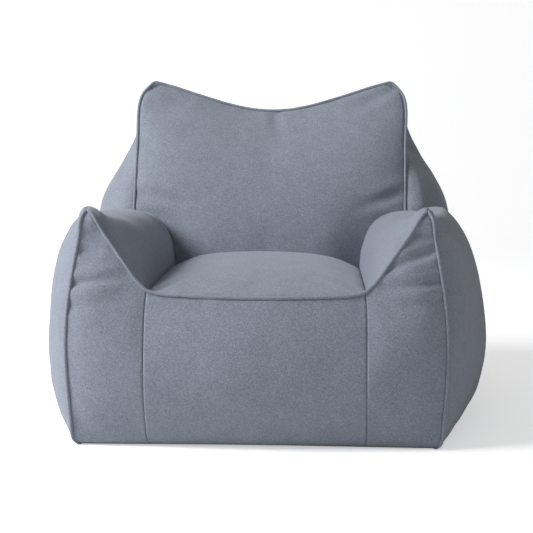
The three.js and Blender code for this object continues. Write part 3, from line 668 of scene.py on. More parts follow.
GATHER_DEPTH = 1.7 * MM  # of the small puckers beside a piped seam
GATHER_REACH = 0.020  # how far from the seam they fade out
GATHER_FINENESS = 4  # pieces into which each step of a seam is cut to find its nearest point
GATHERED_SEAMS = (*UPRIGHT_SEAMS, "arm_ridge", "rear_upper")


def gather_cloth(skin):
    """Puckers the cloth beside the seams where two lengths were eased together."""
    generator = np.random.default_rng(11)
    cover, filled = FORM["cover"], FORM["filled"]
    points, pull = [], []
    for line in seams_named(cover, GATHERED_SEAMS, LEVEL_SEAMS):
        chain = spline(filled[line], GATHER_FINENESS * (len(line) - 1))
        knots = generator.uniform(-1, 1, len(line) * 3 // 4 + 2)
        points += list(chain)
        along = np.linspace(0, len(knots) - 1, len(chain))
        pull += list(np.interp(along, np.arange(len(knots)), knots))
    tree = KDTree(len(points))
    for i, point in enumerate(points):
        tree.insert(point, i)
    tree.balance()
    free = free_points(skin)
    for i in np.flatnonzero(free):
        _, nearest, away = tree.find(skin.points[i])
        if away < 4 * GATHER_REACH:
            fade = min(away / (0.5 * GATHER_REACH), 1) * math.exp(-away / GATHER_REACH)
            skin.points[i] -= skin.normals[i] * GATHER_DEPTH * pull[nearest] * fade


HEM_ROLL = 0.024  # radius with which the cover rolls under at the floor
HEM_RAMP, HEM_START = 0.25, 0.2  # the roll grows over this distance, after this share of it
TIP_REACH = 0.055  # how far from an arm's tip its rounding reaches
TIP_DROP = 0.010
TIP_WAY = (-0.45, 0.55, -1)
TIP_PUFF = 0.006  # the tip is stuffed, so it swells around its point
CORNER_REACH = 0.050  # how far from a seat corner its rounding reaches
CORNER_PULL = 0.008
HOLLOW_REACH = 0.115  # the hollow where seat, arm and backrest meet
HOLLOW_DEPTH = 0.048
HOLLOW_WAY = (0.2, 0.75, -0.9)


def nearness(points, place, reach):
    """1 at a place, falling to 0 at its reach."""
    return np.clip(1 - np.linalg.norm(points - place, axis=1) / reach, 0, 1)


def blunt(points, normals):
    """Rolls the hem under, rounds the arms' tips and seat corners and deepens the rear hollows."""
    low = np.clip(points[:, 2], 0, HEM_ROLL)
    inward = HEM_ROLL - np.sqrt(HEM_ROLL**2 - (HEM_ROLL - low) ** 2)
    middle = points[points[:, 2] < MM].mean(axis=0)
    across = points[:, :2] - middle[:2]
    reach = np.linalg.norm(across, axis=1)
    edge = np.clip(reach / HEM_RAMP - HEM_START, 0, 1)
    points[:, :2] -= across / np.maximum(reach, TINY)[:, None] * (inward * edge)[:, None]
    corners = right_corners()
    for side in SIDES.values():
        tip, seat, rear = (mirrored(corners[key], side) for key in ("arm_tip", "seat_front", "seat_rear"))
        near = nearness(points, tip, TIP_REACH)
        puff = 4 * near * (1 - near) * TIP_PUFF
        points += normals * puff[:, None] + (near**2)[:, None] * mirrored(TIP_WAY, side) * TIP_DROP
        turn = (tip - seat) / np.linalg.norm(tip - seat) - np.array((side, 0, 0))
        near = nearness(points, seat, CORNER_REACH)
        points += (near**2)[:, None] * turn * CORNER_PULL
        near = nearness(points, rear, HOLLOW_REACH)
        points += (near**2)[:, None] * mirrored(HOLLOW_WAY, side) * HOLLOW_DEPTH


def fold_cloth(skin):
    """Presses the folds into their panels. Seam points stay where they are."""
    free = free_points(skin)
    for panel, plane, start, end, width, depth in FOLDS:
        members = inside_panel(skin, panel, free)
        flat = skin.points[members][:, plane]
        start, way = np.array(start), np.array(end) - np.array(start)
        along = ((flat - start) @ way) / (way @ way)
        inside = np.clip(along, 0, 1)
        away = np.linalg.norm(flat - start - inside[:, None] * way, axis=1)
        fade = 1 - FOLD_FADE * inside**2
        valley = np.exp(-((away / width) ** 2))
        shoulder = np.exp(-(((away - SHOULDER_PLACE * width) / width) ** 2))
        move = depth * fade * (valley - SHOULDER_OF_FOLD * shoulder)
        skin.points[members] -= skin.normals[members] * move[:, None]
    skin.points[:, 2] = np.maximum(skin.points[:, 2], 0)


class ARMCHAIR_OT_form(bpy.types.Operator):
    """Sew the cover from its seams and fill it"""

    bl_idname = "armchair.form"
    bl_label = "Sew and fill the cover"

    def execute(self, context):
        cover = sew_cover()
        filled = fill_cover(cover)
        FORM["cover"] = cover
        FORM["filled"] = filled
        coarse = Skin(filled, np.array(cover.quads), np.array(cover.panel_of_quad))
        swell_cloth(coarse)
        skin = refine(cover, filled)
        gather_cloth(skin)
        fold_cloth(skin)
        blunt(skin.points, skin.normals)
        blunt(filled, coarse.normals)
        skin.normals = outward(skin.points, skin.quads)
        FORM["skin"] = skin
        return {"FINISHED"}


# ---- Panels --------------------------------------------------------------------------------

SEAM_INSET = 0.6 * MM  # a panel's edge beside its seam line
SEAM_ROLL = 0.5 * MM  # how far the turned edge stands off the seam line
SEAM_CLOSING = 0.6  # share of that which is left at its lower end
SEAM_DEPTH = 5 * MM  # how deep the turned edge goes in


def renumbered(quads, count):
    """The points that some quads use, and the quads with those points' new numbers."""
    used = np.unique(quads)
    place = np.full(count, -1)
    place[used] = np.arange(len(used))
    return used, place[quads]


def area_of(points, quads):
    a, b, c, d = (points[quads[:, k]] for k in range(4))
    return float(np.linalg.norm(np.cross(c - a, d - b), axis=1).sum() / 2)


def panel_geometry(skin, number, turned=SEAM_DEPTH):
    """One panel with its edges turned in at the seams: points, faces and its cut area."""
    used, faces = renumbered(skin.quads[skin.panels == number], len(skin.points))
    points, normals = skin.points[used].copy(), skin.normals[used]
    cut = area_of(points, faces)
    directed = {}
    for quad in faces.tolist():
        for k in range(4):
            directed[quad[k], quad[(k + 1) % 4]] = quad
    rim = [(a, b, quad) for (a, b), quad in directed.items() if (b, a) not in directed]
    inside = np.zeros_like(points)
    for a, b, quad in rim:
        p = points[quad]
        face = np.cross(p[2] - p[0], p[3] - p[1])
        way = np.cross(face, points[b] - points[a])
        way /= np.linalg.norm(way)
        inside[a] += way
        inside[b] += way
    edge = sorted({a for a, _, _ in rim})
    inside[edge] /= np.linalg.norm(inside[edge], axis=1, keepdims=True)
    seam = points[edge].copy()
    rings = [
        seam + inside[edge] * SEAM_ROLL - normals[edge] * min(SEAM_INSET, turned / 2),
        seam + inside[edge] * SEAM_ROLL * SEAM_CLOSING - normals[edge] * turned,
    ]
    points[edge] = seam + inside[edge] * SEAM_INSET
    count = len(points)
    ring_place = {point: n for n, point in enumerate(edge)}
    skirt = []
    for a, b, _ in rim:
        a1, b1 = count + ring_place[a], count + ring_place[b]
        a2, b2 = a1 + len(edge), b1 + len(edge)
        skirt += [(b, a, a1, b1), (b1, a1, a2, b2)]
    return np.vstack([points, *rings]), [*faces.tolist(), *skirt], cut


def smooth_shade(mesh):
    mesh.polygons.foreach_set("use_smooth", [True] * len(mesh.polygons))


def apply_modifier(obj, name):
    with bpy.context.temp_override(object=obj, active_object=obj, selected_objects=[obj]):
        bpy.ops.object.modifier_apply(modifier=name)


def thicken(obj, thickness):
    """Gives an open sheet of cloth its thickness, inwards."""
    solid = obj.modifiers.new("Thickness", "SOLIDIFY")
    solid.thickness = thickness
    solid.offset = -1
    apply_modifier(obj, solid.name)


def finish_piece(obj, slot, material, *nodes, body=BODY):
    """Material, body and the CAD nodes that a piece stands for; slot is not used."""
    obj.data.materials.clear()
    obj.data.materials.append(material)
    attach(obj, body)
    if nodes:
        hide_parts(*nodes)
    return obj


def finish_cloth(obj, thickness, slot, material, node):
    """Gives a cloth piece its thickness, soft shading, material and place."""
    thicken(obj, thickness)
    smooth_shade(obj.data)
    return finish_piece(obj, slot, material, node)


def panel_names():
    return [name for name in PANELS if not name.startswith("zip_tape")]


def box_of(node):
    """A CAD node's low and high corner."""
    return [Vector(corner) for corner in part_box(node)]


class ARMCHAIR_OT_panels(bpy.types.Operator):
    """Cut the cover into its panels, each with turned edges and a thickness"""

    bl_idname = "armchair.panels"
    bl_label = "Cover panels"

    def execute(self, context):
        skin = FORM["skin"]
        for name in panel_names():
            points, faces, cut = panel_geometry(skin, PANELS.index(name))
            obj = object_of(f"cover_{name}", mesh_of(f"cover_{name}", points, faces))
            finish_cloth(obj, sizes().cloth_thickness, "cover_fabric", nap_material(), name)
        return {"FINISHED"}


# ---- Piping --------------------------------------------------------------------------------

PIPING_SIDES = 12
PIPING_SINK = 0.45  # share of its radius that a piped cord sits below the cloth
PIPING_UNEVEN = 0.045  # how much its radius varies
END_START, END_REACH = 0.6, 1.6  # its ends close over this many steps, after this much of one


def seam_line(names):
    """A run of seams on the filled cover, as points and outward normals."""
    cover, filled = FORM["cover"], FORM["filled"]
    quads = np.array(cover.quads)
    normals = outward(filled, quads)
    ids = []
    for name in names:
        line = cover.seams[name.lstrip("-")]
        line = line[::-1] if name.startswith("-") else line
        ids += line[1:] if ids else line
    points, ways = filled[ids].copy(), normals[ids]
    points[1:-1] = (points[:-2] + 6 * points[1:-1] + points[2:]) / 8
    return points, ways


def tube(name, points, ways, radius, seed):
    """A piped cord along a seam, slightly uneven, with closed round ends."""
    generator = np.random.default_rng(seed)
    fine = spline(points, 3 * (len(points) - 1))
    count = len(fine)
    share, places = np.linspace(0, 1, len(points)), np.linspace(0, 1, count)
    out = np.stack([np.interp(places, share, ways[:, k]) for k in range(3)], axis=1)
    along = np.gradient(fine, axis=0)
    along /= np.linalg.norm(along, axis=1, keepdims=True)
    out -= (out * along).sum(axis=1, keepdims=True) * along
    out /= np.linalg.norm(out, axis=1, keepdims=True)
    aside = np.cross(along, out)
    centre = fine + out * radius * (1 - PIPING_SINK)
    knots = count // 4 + 2
    bumps = np.interp(places, np.linspace(0, 1, knots), generator.normal(0, PIPING_UNEVEN, knots))
    steps = np.arange(count)
    closing = np.minimum(1, (np.minimum(steps, steps[::-1]) + END_START) / END_REACH)
    wide = radius * (1 + bumps) * np.sqrt(closing)
    rings = []
    for k in range(PIPING_SIDES):
        angle = 2 * math.pi * k / PIPING_SIDES
        rings.append(centre + (math.cos(angle) * out + math.sin(angle) * aside) * wide[:, None])
    rings = np.stack(rings, axis=1).reshape(-1, 3)
    rings[:, 2] = np.maximum(rings[:, 2], 0)
    faces = []
    for i in range(count - 1):
        for k in range(PIPING_SIDES):
            a, b = i * PIPING_SIDES + k, i * PIPING_SIDES + (k + 1) % PIPING_SIDES
            faces.append((a, b, b + PIPING_SIDES, a + PIPING_SIDES))
    last = (count - 1) * PIPING_SIDES
    faces.append(tuple(range(PIPING_SIDES))[::-1])
    faces.append(tuple(last + k for k in range(PIPING_SIDES)))
    mesh = mesh_of(name, rings, faces)
    with edited(mesh) as work:
        bmesh.ops.recalc_face_normals(work, faces=work.faces)
    smooth_shade(mesh)
    return object_of(name, mesh)


PIPED_RUNS = {
    "front_edge_piping": ("-left_arm_diagonal", "seat_edge", "right_arm_diagonal"),
    "left_front_piping": ("left_outer_upright",),
    "right_front_piping": ("right_outer_upright",),
    "backrest_piping": ("left_back_side", "back_edge", "-right_back_side"),
}


class ARMCHAIR_OT_piping(bpy.types.Operator):
    """Lay the piped cords along their seams"""

    bl_idname = "armchair.piping"
    bl_label = "Piping"

    def execute(self, context):
        for seed, (node, run) in enumerate(PIPED_RUNS.items()):
            points, ways = seam_line(run)
            obj = tube(f"sewn_{node}", points, ways, sizes().piping_radius, seed)
            finish_piece(obj, "cover_fabric", nap_material(), node)
        return {"FINISHED"}


# ---- Zip -----------------------------------------------------------------------------------

TOOTH_PITCH = 2.4 * MM
TOOTH_LENGTH = 1.7 * MM  # of one turn of the coil, along the zip
TOOTH_ROUND = 0.5 * MM
STOP_ROUND = 0.5 * MM
CAST_ROUND = 0.3 * MM
TAPE_THICKNESS = 0.8 * MM
SMOOTH_ANGLE = math.radians(40)  # sharper edges stay sharp in shading
FLAT_ANGLE = math.radians(2)  # faces that turn less than this are one face


def select_only(obj):
    bpy.ops.object.select_all(action="DESELECT")
    obj.select_set(True)
    bpy.context.view_layer.objects.active = obj


def place_in_mesh(obj):
    select_only(obj)
    bpy.ops.object.transform_apply(location=True, rotation=True, scale=True)


def bevel(obj, width, segments=2):
    soft = obj.modifiers.new("Bevel", "BEVEL")
    soft.width = width
    soft.segments = segments
    soft.limit_method = "ANGLE"
    apply_modifier(obj, soft.name)
    select_only(obj)
    bpy.ops.object.shade_smooth_by_angle(angle=SMOOTH_ANGLE)


def rounded_box(name, low, high, width, segments=2):
    """A box between two corners with rounded edges."""
    low, high = Vector(low), Vector(high)
    bpy.ops.object.select_all(action="DESELECT")
    bpy.ops.mesh.primitive_cube_add(size=1, location=(low + high) / 2)
    obj = bpy.context.active_object
    obj.name = name
    obj.scale = high - low
    place_in_mesh(obj)
    bevel(obj, width, segments)
    return obj


def softened(name, node, width):
    """A copy of a CAD node's shape with its sharp edges rounded."""
    mesh = bpy.data.objects[node].data.copy()
    mesh.name = name
    with edited(mesh) as work:
        bmesh.ops.remove_doubles(work, verts=work.verts, dist=TINY)
        bmesh.ops.dissolve_limit(work, angle_limit=FLAT_ANGLE, verts=work.verts, edges=work.edges)
    obj = object_of(name, mesh)
    bevel(obj, width)
    return obj


def coil_row(name, node):
    """One row of coil teeth: a rounded turn, copied along the zip."""
    low, high = box_of(node)
    count = int((high.x - low.x) / TOOTH_PITCH)
    first = Vector((low.x + TOOTH_LENGTH, high.y, high.z))
    turn = rounded_box(f"{name}_turn", low, first, TOOTH_ROUND)
    points = points_of(turn.data)
    faces = [tuple(face.vertices) for face in turn.data.polygons]
    bpy.data.objects.remove(turn)
    step = (high.x - low.x - TOOTH_LENGTH) / (count - 1)
    every = [points + np.array((step * i, 0, 0)) for i in range(count)]
    rows = [tuple(v + i * len(points) for v in face) for i in range(count) for face in faces]
    obj = object_of(name, mesh_of(name, np.vstack(every), rows))
    smooth_shade(obj.data)
    return obj


class ARMCHAIR_OT_zip(bpy.types.Operator):
    """Make the zip: tapes, coil teeth, stops, slider and pull tab"""

    bl_idname = "armchair.zip"
    bl_label = "Zip"

    def execute(self, context):
        for way in ("upper", "lower"):
            tape = f"zip_tape_{way}"
            points, faces, cut = panel_geometry(FORM["skin"], PANELS.index(tape), TAPE_THICKNESS)
            obj = object_of(f"woven_{tape}", mesh_of(f"woven_{tape}", points, faces))
            finish_cloth(obj, TAPE_THICKNESS, "zip_tape", tape_material(), tape)
            row = f"zip_teeth_{way}"
            finish_piece(coil_row(f"coil_{row}", row), "zip_teeth", teeth_material(), row)
        for side in SIDES:
            node = f"zip_{side}_stop"
            stop = rounded_box(f"cast_{node}", *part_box(node), STOP_ROUND, 3)
            finish_piece(stop, "zip_metal", metal_material(), node)
        for node, body in (("zip_slider", "slider"), ("zip_pull_tab", "pull")):
            cast = softened(f"cast_{node}", node, CAST_ROUND)
            finish_piece(cast, "zip_metal", metal_material(), node, body=body)
        return {"FINISHED"}


# ---- Inside: liner, partitions and beads ---------------------------------------------------

LINER_THICKNESS = 0.6 * MM
LINER_DEPTH = 9 * MM  # under the cover, so that no fold reaches it
FILL_DEPTH = 11 * MM
LINER_STEPS = 9  # small steps inwards, eased each time, so that thin edges don't cross
PARTITION_THICKNESS = 1.0 * MM
PARTITION_GAP = 0.5 * MM
CUT_ANGLE = math.radians(50)  # a cut through the filling stays a sharp edge


def inner_skin(depth, panels):
    """The filled cover's shape, further in, for the named panels."""
    cover, filled = FORM["cover"], FORM["filled"]
    quads = np.array(cover.quads)
    points = filled.copy()
    for _ in range(LINER_STEPS):
        ways = outward(points, quads)
        ease = (neighbour_mean(points, quads) - points) / 2
        out = (ease * ways).sum(axis=1, keepdims=True)
        points += ease - np.maximum(out, 0) * ways - ways * depth / LINER_STEPS
    points[:, 2] = np.maximum(points[:, 2], depth)
    wanted = np.isin(cover.panel_of_quad, [PANELS.index(name) for name in panels])
    used, faces = renumbered(quads[wanted], len(points))
    return points[used], faces


def lined(name, node, panels):
    """A layer of liner cloth under the named panels."""
    points, quads = inner_skin(LINER_DEPTH, panels)
    obj = object_of(name, mesh_of(name, points, quads))
    cut = area_of(points, quads)
    finish_cloth(obj, LINER_THICKNESS, "liner_cloth", liner_material(), node)
    return obj, cut


def slab(name, *cuts):
    """The inner shape between planes; each cut is a point and the way that is kept."""
    points, quads = inner_skin(FILL_DEPTH, PANELS)
    obj = object_of(name, mesh_of(name, points, quads))
    with edited(obj.data) as work:
        for point, keep in cuts:
            geometry = work.verts[:] + work.edges[:] + work.faces[:]
            bmesh.ops.bisect_plane(work, geom=geometry, plane_co=point, plane_no=keep, clear_inner=True)
            open_edges = [edge for edge in work.edges if edge.is_boundary]
            bmesh.ops.holes_fill(work, edges=open_edges, sides=0)
        large = [face for face in work.faces if len(face.verts) > 4]
        bmesh.ops.triangulate(work, faces=large)
        bmesh.ops.recalc_face_normals(work, faces=work.faces)
    select_only(obj)
    bpy.ops.object.shade_smooth_by_angle(angle=CUT_ANGLE)
    return obj


def wall_planes(node, axis):
    """The two faces of a partition, each with the way out of it."""
    low, high = box_of(node)
    out = Vector((0, 0, 0))
    out[axis] = 1
    if axis == 0:
        centre, half = (low.x + high.x) / 2, PARTITION_THICKNESS / 2
        low.x, high.x = centre - half, centre + half
    return (low, out), (high, out)


class ARMCHAIR_OT_inside(bpy.types.Operator):
    """Make the liner, its closure, the partitions and the bead fills"""

    bl_idname = "armchair.inside"
    bl_label = "Liner, partitions and beads"

    def execute(self, context):
        liner, cut = lined("woven_inner_liner", "inner_liner", panel_names())
        tapes = [name for name in PANELS if name.startswith("zip_tape")]
        closure, cut = lined("woven_liner_closure", "liner_closure", tapes)
        (back_low, back_way), (back_high, _) = wall_planes("back_partition", 1)
        gap = back_way * PARTITION_GAP
        front_cut = (back_low - gap, -back_way)
        wall = slab("woven_back_partition", (back_low, back_way), (back_high, -back_way))
        self.wall(wall, "back_partition")
        self.beads(slab("beads_back", (back_high + gap, back_way)), "back_bead_fill")
        inner = []
        for name in SIDES:
            node = f"{name}_arm_partition"
            (low, way), (high, _) = wall_planes(node, 0)
            self.wall(slab(f"woven_{node}", (low, way), (high, -way), front_cut), node)
            near, far = (low, high) if name == "right" else (high, low)
            out = way if name == "right" else -way
            step = out * PARTITION_GAP
            self.beads(slab(f"beads_{name}_arm", (far + step, out), front_cut), f"{name}_arm_bead_fill")
            inner.append((near - step, -out))
        self.beads(slab("beads_seat", *inner, front_cut), "seat_bead_fill")
        return {"FINISHED"}

    def wall(self, obj, node):
        finish_piece(obj, "liner_cloth", liner_material(), node)

    def beads(self, obj, node):
        finish_piece(obj, "bead_fill", bead_material(), node)


# ---- Care label ----------------------------------------------------------------------------

LABEL_ROWS, LABEL_COLUMNS = 24, 14
LABEL_CURL = 1.5 * MM  # how far its lower edge curls out
LABEL_BELLY = 0.5 * MM  # how far its middle stands out there
LABEL_THICKNESS = 0.35 * MM


class ARMCHAIR_OT_label(bpy.types.Operator):
    """Make the blank care label that hangs from the seam under the zip"""

    bl_idname = "armchair.label"
    bl_label = "Care label"

    def execute(self, context):
        low, high = box_of("care_label")
        points, faces = [], []
        for j in range(LABEL_ROWS + 1):
            down = j / LABEL_ROWS
            for i in range(LABEL_COLUMNS + 1):
                across = i / LABEL_COLUMNS
                curl = LABEL_CURL * down**2 + LABEL_BELLY * math.sin(math.pi * across) * down
                x = low.x + (high.x - low.x) * across
                y = high.y + (low.y - high.y) * down + curl
                points.append((x, y, high.z + (low.z - high.z) * down))
        width = LABEL_COLUMNS + 1
        for j in range(LABEL_ROWS):
            for i in range(LABEL_COLUMNS):
                a = j * width + i
                faces.append((a, a + 1, a + 1 + width, a + width))
        label = object_of("woven_care_label", mesh_of("woven_care_label", points, faces))
        with edited(label.data) as work:
            work.normal_update()
            if sum(face.normal.y for face in work.faces) < 0:
                bmesh.ops.reverse_faces(work, faces=work.faces)
        finish_cloth(label, LABEL_THICKNESS, "label_cloth", label_material(), "care_label")
        return {"FINISHED"}


# ---- Materials -----------------------------------------------------------------------------


def group_of(name, inputs, outputs):
    """A new shader node group with its sockets; returns it with its input and output nodes."""
    group = bpy.data.node_groups.new(name, "ShaderNodeTree")
    for way, sockets in (("INPUT", inputs), ("OUTPUT", outputs)):
        for socket, kind in sockets.items():
            group.interface.new_socket(socket, in_out=way, socket_type=f"NodeSocket{kind}")
    return group, group.nodes.new("NodeGroupInput"), group.nodes.new("NodeGroupOutput")


def add_node(tree, kind, **values):
    node = tree.nodes.new(kind)
    for key, value in values.items():
        setattr(node, key, value)
    return node


def math_node(tree, operation, first, second):
    node = add_node(tree, "ShaderNodeMath", operation=operation)
    for socket, value in zip(node.inputs, (first, second)):
        if isinstance(value, bpy.types.NodeSocket):
            tree.links.new(value, socket)
        else:
            socket.default_value = value
    return node.outputs[0]


def scaled(tree, value, by, plus):
    """A value times a number, plus a number."""
    return math_node(tree, "ADD", math_node(tree, "MULTIPLY", value, by), plus)


def blended(tree, first, share, second):
    """Two values, the first with its share and the second with what is left."""
    parts = [math_node(tree, "MULTIPLY", first, share), math_node(tree, "MULTIPLY", second, 1 - share)]
    return math_node(tree, "ADD", *parts)


def noise(tree, vector, scale, detail=2.0, roughness=0.5):
    node = add_node(tree, "ShaderNodeTexNoise")
    for socket, value in (("Scale", scale), ("Detail", detail), ("Roughness", roughness)):
        node.inputs[socket].default_value = value
    tree.links.new(vector, node.inputs["Vector"])
    return node.outputs["Fac"]


def two_tone(tree, value, dark, light, start=0.0, end=1.0):
    """A colour that runs from dark to light while a value goes from start to end."""
    ramp = add_node(tree, "ShaderNodeValToRGB")
    first, last = ramp.color_ramp.elements
    first.position, last.position = start, end
    first.color, last.color = (*dark, 1), (*light, 1)
    tree.links.new(value, ramp.inputs["Fac"])
    return ramp.outputs["Color"]


def toned(colour, share):
    """A colour made darker or lighter, never quite white."""
    return [min(part * share, 0.95) for part in colour]


def new_material(name, metallic=0.0, **constants):
    """A material with its Principled shader and an Object coordinate."""
    material = bpy.data.materials.new(name)
    material.use_nodes = True
    tree = material.node_tree
    shader = tree.nodes["Principled BSDF"]
    shader.inputs["Metallic"].default_value = metallic
    for socket, value in constants.items():
        shader.inputs[socket.replace("_", " ")].default_value = value
    place = add_node(tree, "ShaderNodeTexCoord")
    return material, tree, shader, place.outputs["Object"]


def surface(tree, shader, colour, rough, height, strength, distance):
    """Leads a colour, a roughness and a bump's height into the shader."""
    tree.links.new(colour, shader.inputs["Base Color"])
    tree.links.new(rough, shader.inputs["Roughness"])
    node = add_node(tree, "ShaderNodeBump")
    node.inputs["Strength"].default_value = strength
    node.inputs["Distance"].default_value = distance
    tree.links.new(height, node.inputs["Height"])
    tree.links.new(node.outputs["Normal"], shader.inputs["Normal"])


# Sizes of a pattern are noise scales: about how many features there are in a metre.
FIBRES, CLUMPS, DRIFT = 760, 330, 34


@cache
def nap_group():
    """Brushed wool-like nap: fibre speckle, soft clumps and slow shading of the pile, coloured from painted
    shade at the roots to painted light on the tips.
    """
    group, start, end = group_of(
        "Brushed nap",
        {"Vector": "Vector", "Shaded root": "Color", "Body": "Color", "Lit tip": "Color"},
        {"Color": "Color", "Height": "Float", "Roughness": "Float"},
    )
    link = group.links.new
    vector = start.outputs["Vector"]
    fibre = noise(group, vector, FIBRES, detail=3, roughness=0.7)
    clump = noise(group, vector, CLUMPS, roughness=0.6)
    drift = noise(group, vector, DRIFT)
    speckle = blended(group, fibre, 0.6, clump)
    shade = blended(group, speckle, 0.93, drift)
    # Painted light and shade: where the speckle, which is also the bump's height, is high, the colour runs
    # to the lit tips; where it is low, it runs to the shaded roots.
    pile = two_tone(group, shade, (0, 0, 0), (1, 1, 1), start=0.36, end=0.64)
    low = add_node(group, "ShaderNodeMix", data_type="RGBA")
    high = add_node(group, "ShaderNodeMix", data_type="RGBA")
    lower = math_node(group, "MULTIPLY", pile, 2.0)
    upper = math_node(group, "SUBTRACT", lower, 1.0)
    for mixer, factor in ((low, lower), (high, upper)):
        mixer.clamp_factor = True
        link(factor, mixer.inputs["Factor"])
    link(start.outputs["Shaded root"], low.inputs["A"])
    link(start.outputs["Body"], low.inputs["B"])
    link(low.outputs["Result"], high.inputs["A"])
    link(start.outputs["Lit tip"], high.inputs["B"])
    link(high.outputs["Result"], end.inputs["Color"])
    link(speckle, end.inputs["Height"])
    link(scaled(group, clump, 0.12, 0.86), end.inputs["Roughness"])
    return group


@cache
def nap_material():
    """The cover's brushed fabric, with the soft sheen of its pile."""
    c = colours()
    material, tree, shader, place = new_material(
        "Slate brushed fabric",
        Sheen_Weight=0.35,
        Sheen_Roughness=0.55,
        Sheen_Tint=(0.88, 0.91, 1.0, 1),
        Specular_IOR_Level=0.15,
    )
    nap = add_node(tree, "ShaderNodeGroup")
    nap.node_tree = nap_group()
    tree.links.new(place, nap.inputs["Vector"])
    for socket, colour in (("Shaded root", c.shaded_nap_root), ("Body", c.nap), ("Lit tip", c.lit_nap_tip)):
        nap.inputs[socket].default_value = (*colour, 1)
    colour, rough, height = (nap.outputs[key] for key in ("Color", "Roughness", "Height"))
    surface(tree, shader, colour, rough, height, strength=0.70, distance=0.0022)
    return material


@cache
def weave_group():
    """Threads that cross: their height, and a painted shade that follows it, darker where the threads dip,
    with some random unevenness.
    """
    inputs, outputs = {"Vector": "Vector", "Threads": "Float"}, {"Height": "Float", "Painted shade and tone": "Float"}
    group, start, end = group_of("Woven threads", inputs, outputs)
    waves = []
    for direction in ("X", "Z"):
        wave = add_node(group, "ShaderNodeTexWave", wave_type="BANDS", bands_direction=direction)
        wave.inputs["Distortion"].default_value = 0.6
        wave.inputs["Detail Scale"].default_value = 2.0
        group.links.new(start.outputs["Vector"], wave.inputs["Vector"])
        group.links.new(start.outputs["Threads"], wave.inputs["Scale"])
        waves.append(wave.outputs["Fac"])
    crossed = math_node(group, "MULTIPLY", *waves)
    uneven = noise(group, start.outputs["Vector"], 90, detail=3, roughness=0.6)
    group.links.new(crossed, end.inputs["Height"])
    group.links.new(blended(group, crossed, 0.55, uneven), end.inputs["Painted shade and tone"])
    return group


def woven_material(name, colour, threads, rough, strength):
    """Cloth or tape woven from threads of one colour."""
    material, tree, shader, place = new_material(name, Sheen_Weight=0.15, Specular_IOR_Level=0.3)
    weave = add_node(tree, "ShaderNodeGroup")
    weave.node_tree = weave_group()
    weave.inputs["Threads"].default_value = threads
    tree.links.new(place, weave.inputs["Vector"])
    shade, height = weave.outputs["Painted shade and tone"], weave.outputs["Height"]
    # Painted shade: the thread colour is darker where the weave's height is low and lighter on the
    # crossings, mixed with random tone.
    colour = two_tone(tree, shade, toned(colour, 0.62), toned(colour, 1.25))
    surface(tree, shader, colour, scaled(tree, shade, 0.1, rough), height, strength, distance=0.0004)
    return material


@cache
def tape_material():
    return woven_material("Zip tape weave", colours().tape, threads=900, rough=0.72, strength=0.7)


@cache
def liner_material():
    return woven_material("Liner weave", colours().liner, threads=600, rough=0.78, strength=0.5)


@cache
def label_material():
    return woven_material("Label weave", colours().label, threads=1400, rough=0.6, strength=0.4)


@cache
def teeth_material():
    """Moulded nylon coil, with a fine grain."""
    material, tree, shader, place = new_material("Coil nylon", Specular_IOR_Level=0.45)
    grain = noise(tree, place, 1500)
    colour = colours().teeth
    colour = two_tone(tree, grain, toned(colour, 0.75), toned(colour, 1.35))
    surface(tree, shader, colour, scaled(tree, grain, 0.25, 0.3), grain, strength=0.2, distance=0.0001)
    return material


@cache
def metal_material():
    """Dark painted die-cast metal with rubbed patches."""
    material, tree, shader, place = new_material("Painted zip metal", metallic=0.9)
    rubbed = noise(tree, place, 220, detail=4, roughness=0.65)
    fine = noise(tree, place, 2400)
    colour = colours().metal
    colour = two_tone(tree, rubbed, toned(colour, 0.75), toned(colour, 1.5), start=0.35, end=0.7)
    surface(tree, shader, colour, scaled(tree, fine, 0.2, 0.25), fine, strength=0.12, distance=0.0001)
    return material


@cache
def bead_material():
    """Packed foam beads: round cells, with painted shade in the gaps between them."""
    material, tree, shader, place = new_material("Foam beads", Specular_IOR_Level=0.4)
    cells = add_node(tree, "ShaderNodeTexVoronoi", feature="F1")
    cells.inputs["Scale"].default_value = 250
    tree.links.new(place, cells.inputs["Vector"])
    gap = math_node(tree, "MULTIPLY", cells.outputs["Distance"], 1.4)
    bead = math_node(tree, "SUBTRACT", 1.0, gap)
    colour = colours().bead
    # Painted shade: the bead colour darkens towards the cell edges, where the gaps between beads lie.
    colour = two_tone(tree, bead, toned(colour, 0.5), toned(colour, 1.0), end=0.5)
    surface(tree, shader, colour, scaled(tree, bead, -0.15, 0.8), bead, strength=0.8, distance=0.002)
    return material


# ---- Stage ---------------------------------------------------------------------------------

CAMERA_DISTANCE = 3.4
CAMERA_AZIMUTH = math.radians(3.0)
CAMERA_ELEVATION = math.radians(8.5)
CAMERA_TARGET = Vector((0, 0, 0.315))
CAMERA_LENS = 100.6
FLOOR_GLOW = 0.47  # lifts the floor to white without lighting the chair
SKY_LIGHT = 0.25
SKY_SEEN = 0.98  # the sky's own brightness behind the chair
WHITE = (1, 1, 1, 1)
LIGHTS = (("key", 171, 1.9, (-2.85, -1.2, 2.7)), ("front", 9, 2.5, (0.3, -3.6, 1.6)))  # watts, size, place
LIGHT_TARGET = Vector((0, 0, 0.3))
BEND_STEPS = 16


def soft_light(name, energy, size, place):
    data = bpy.data.lights.new(name, "AREA")
    data.energy = energy
    data.shape = "DISK"
    data.size = size
    light = object_of(name, data)
    light.location = place
    light.rotation_euler = (LIGHT_TARGET - Vector(place)).to_track_quat("-Z", "Y").to_euler()


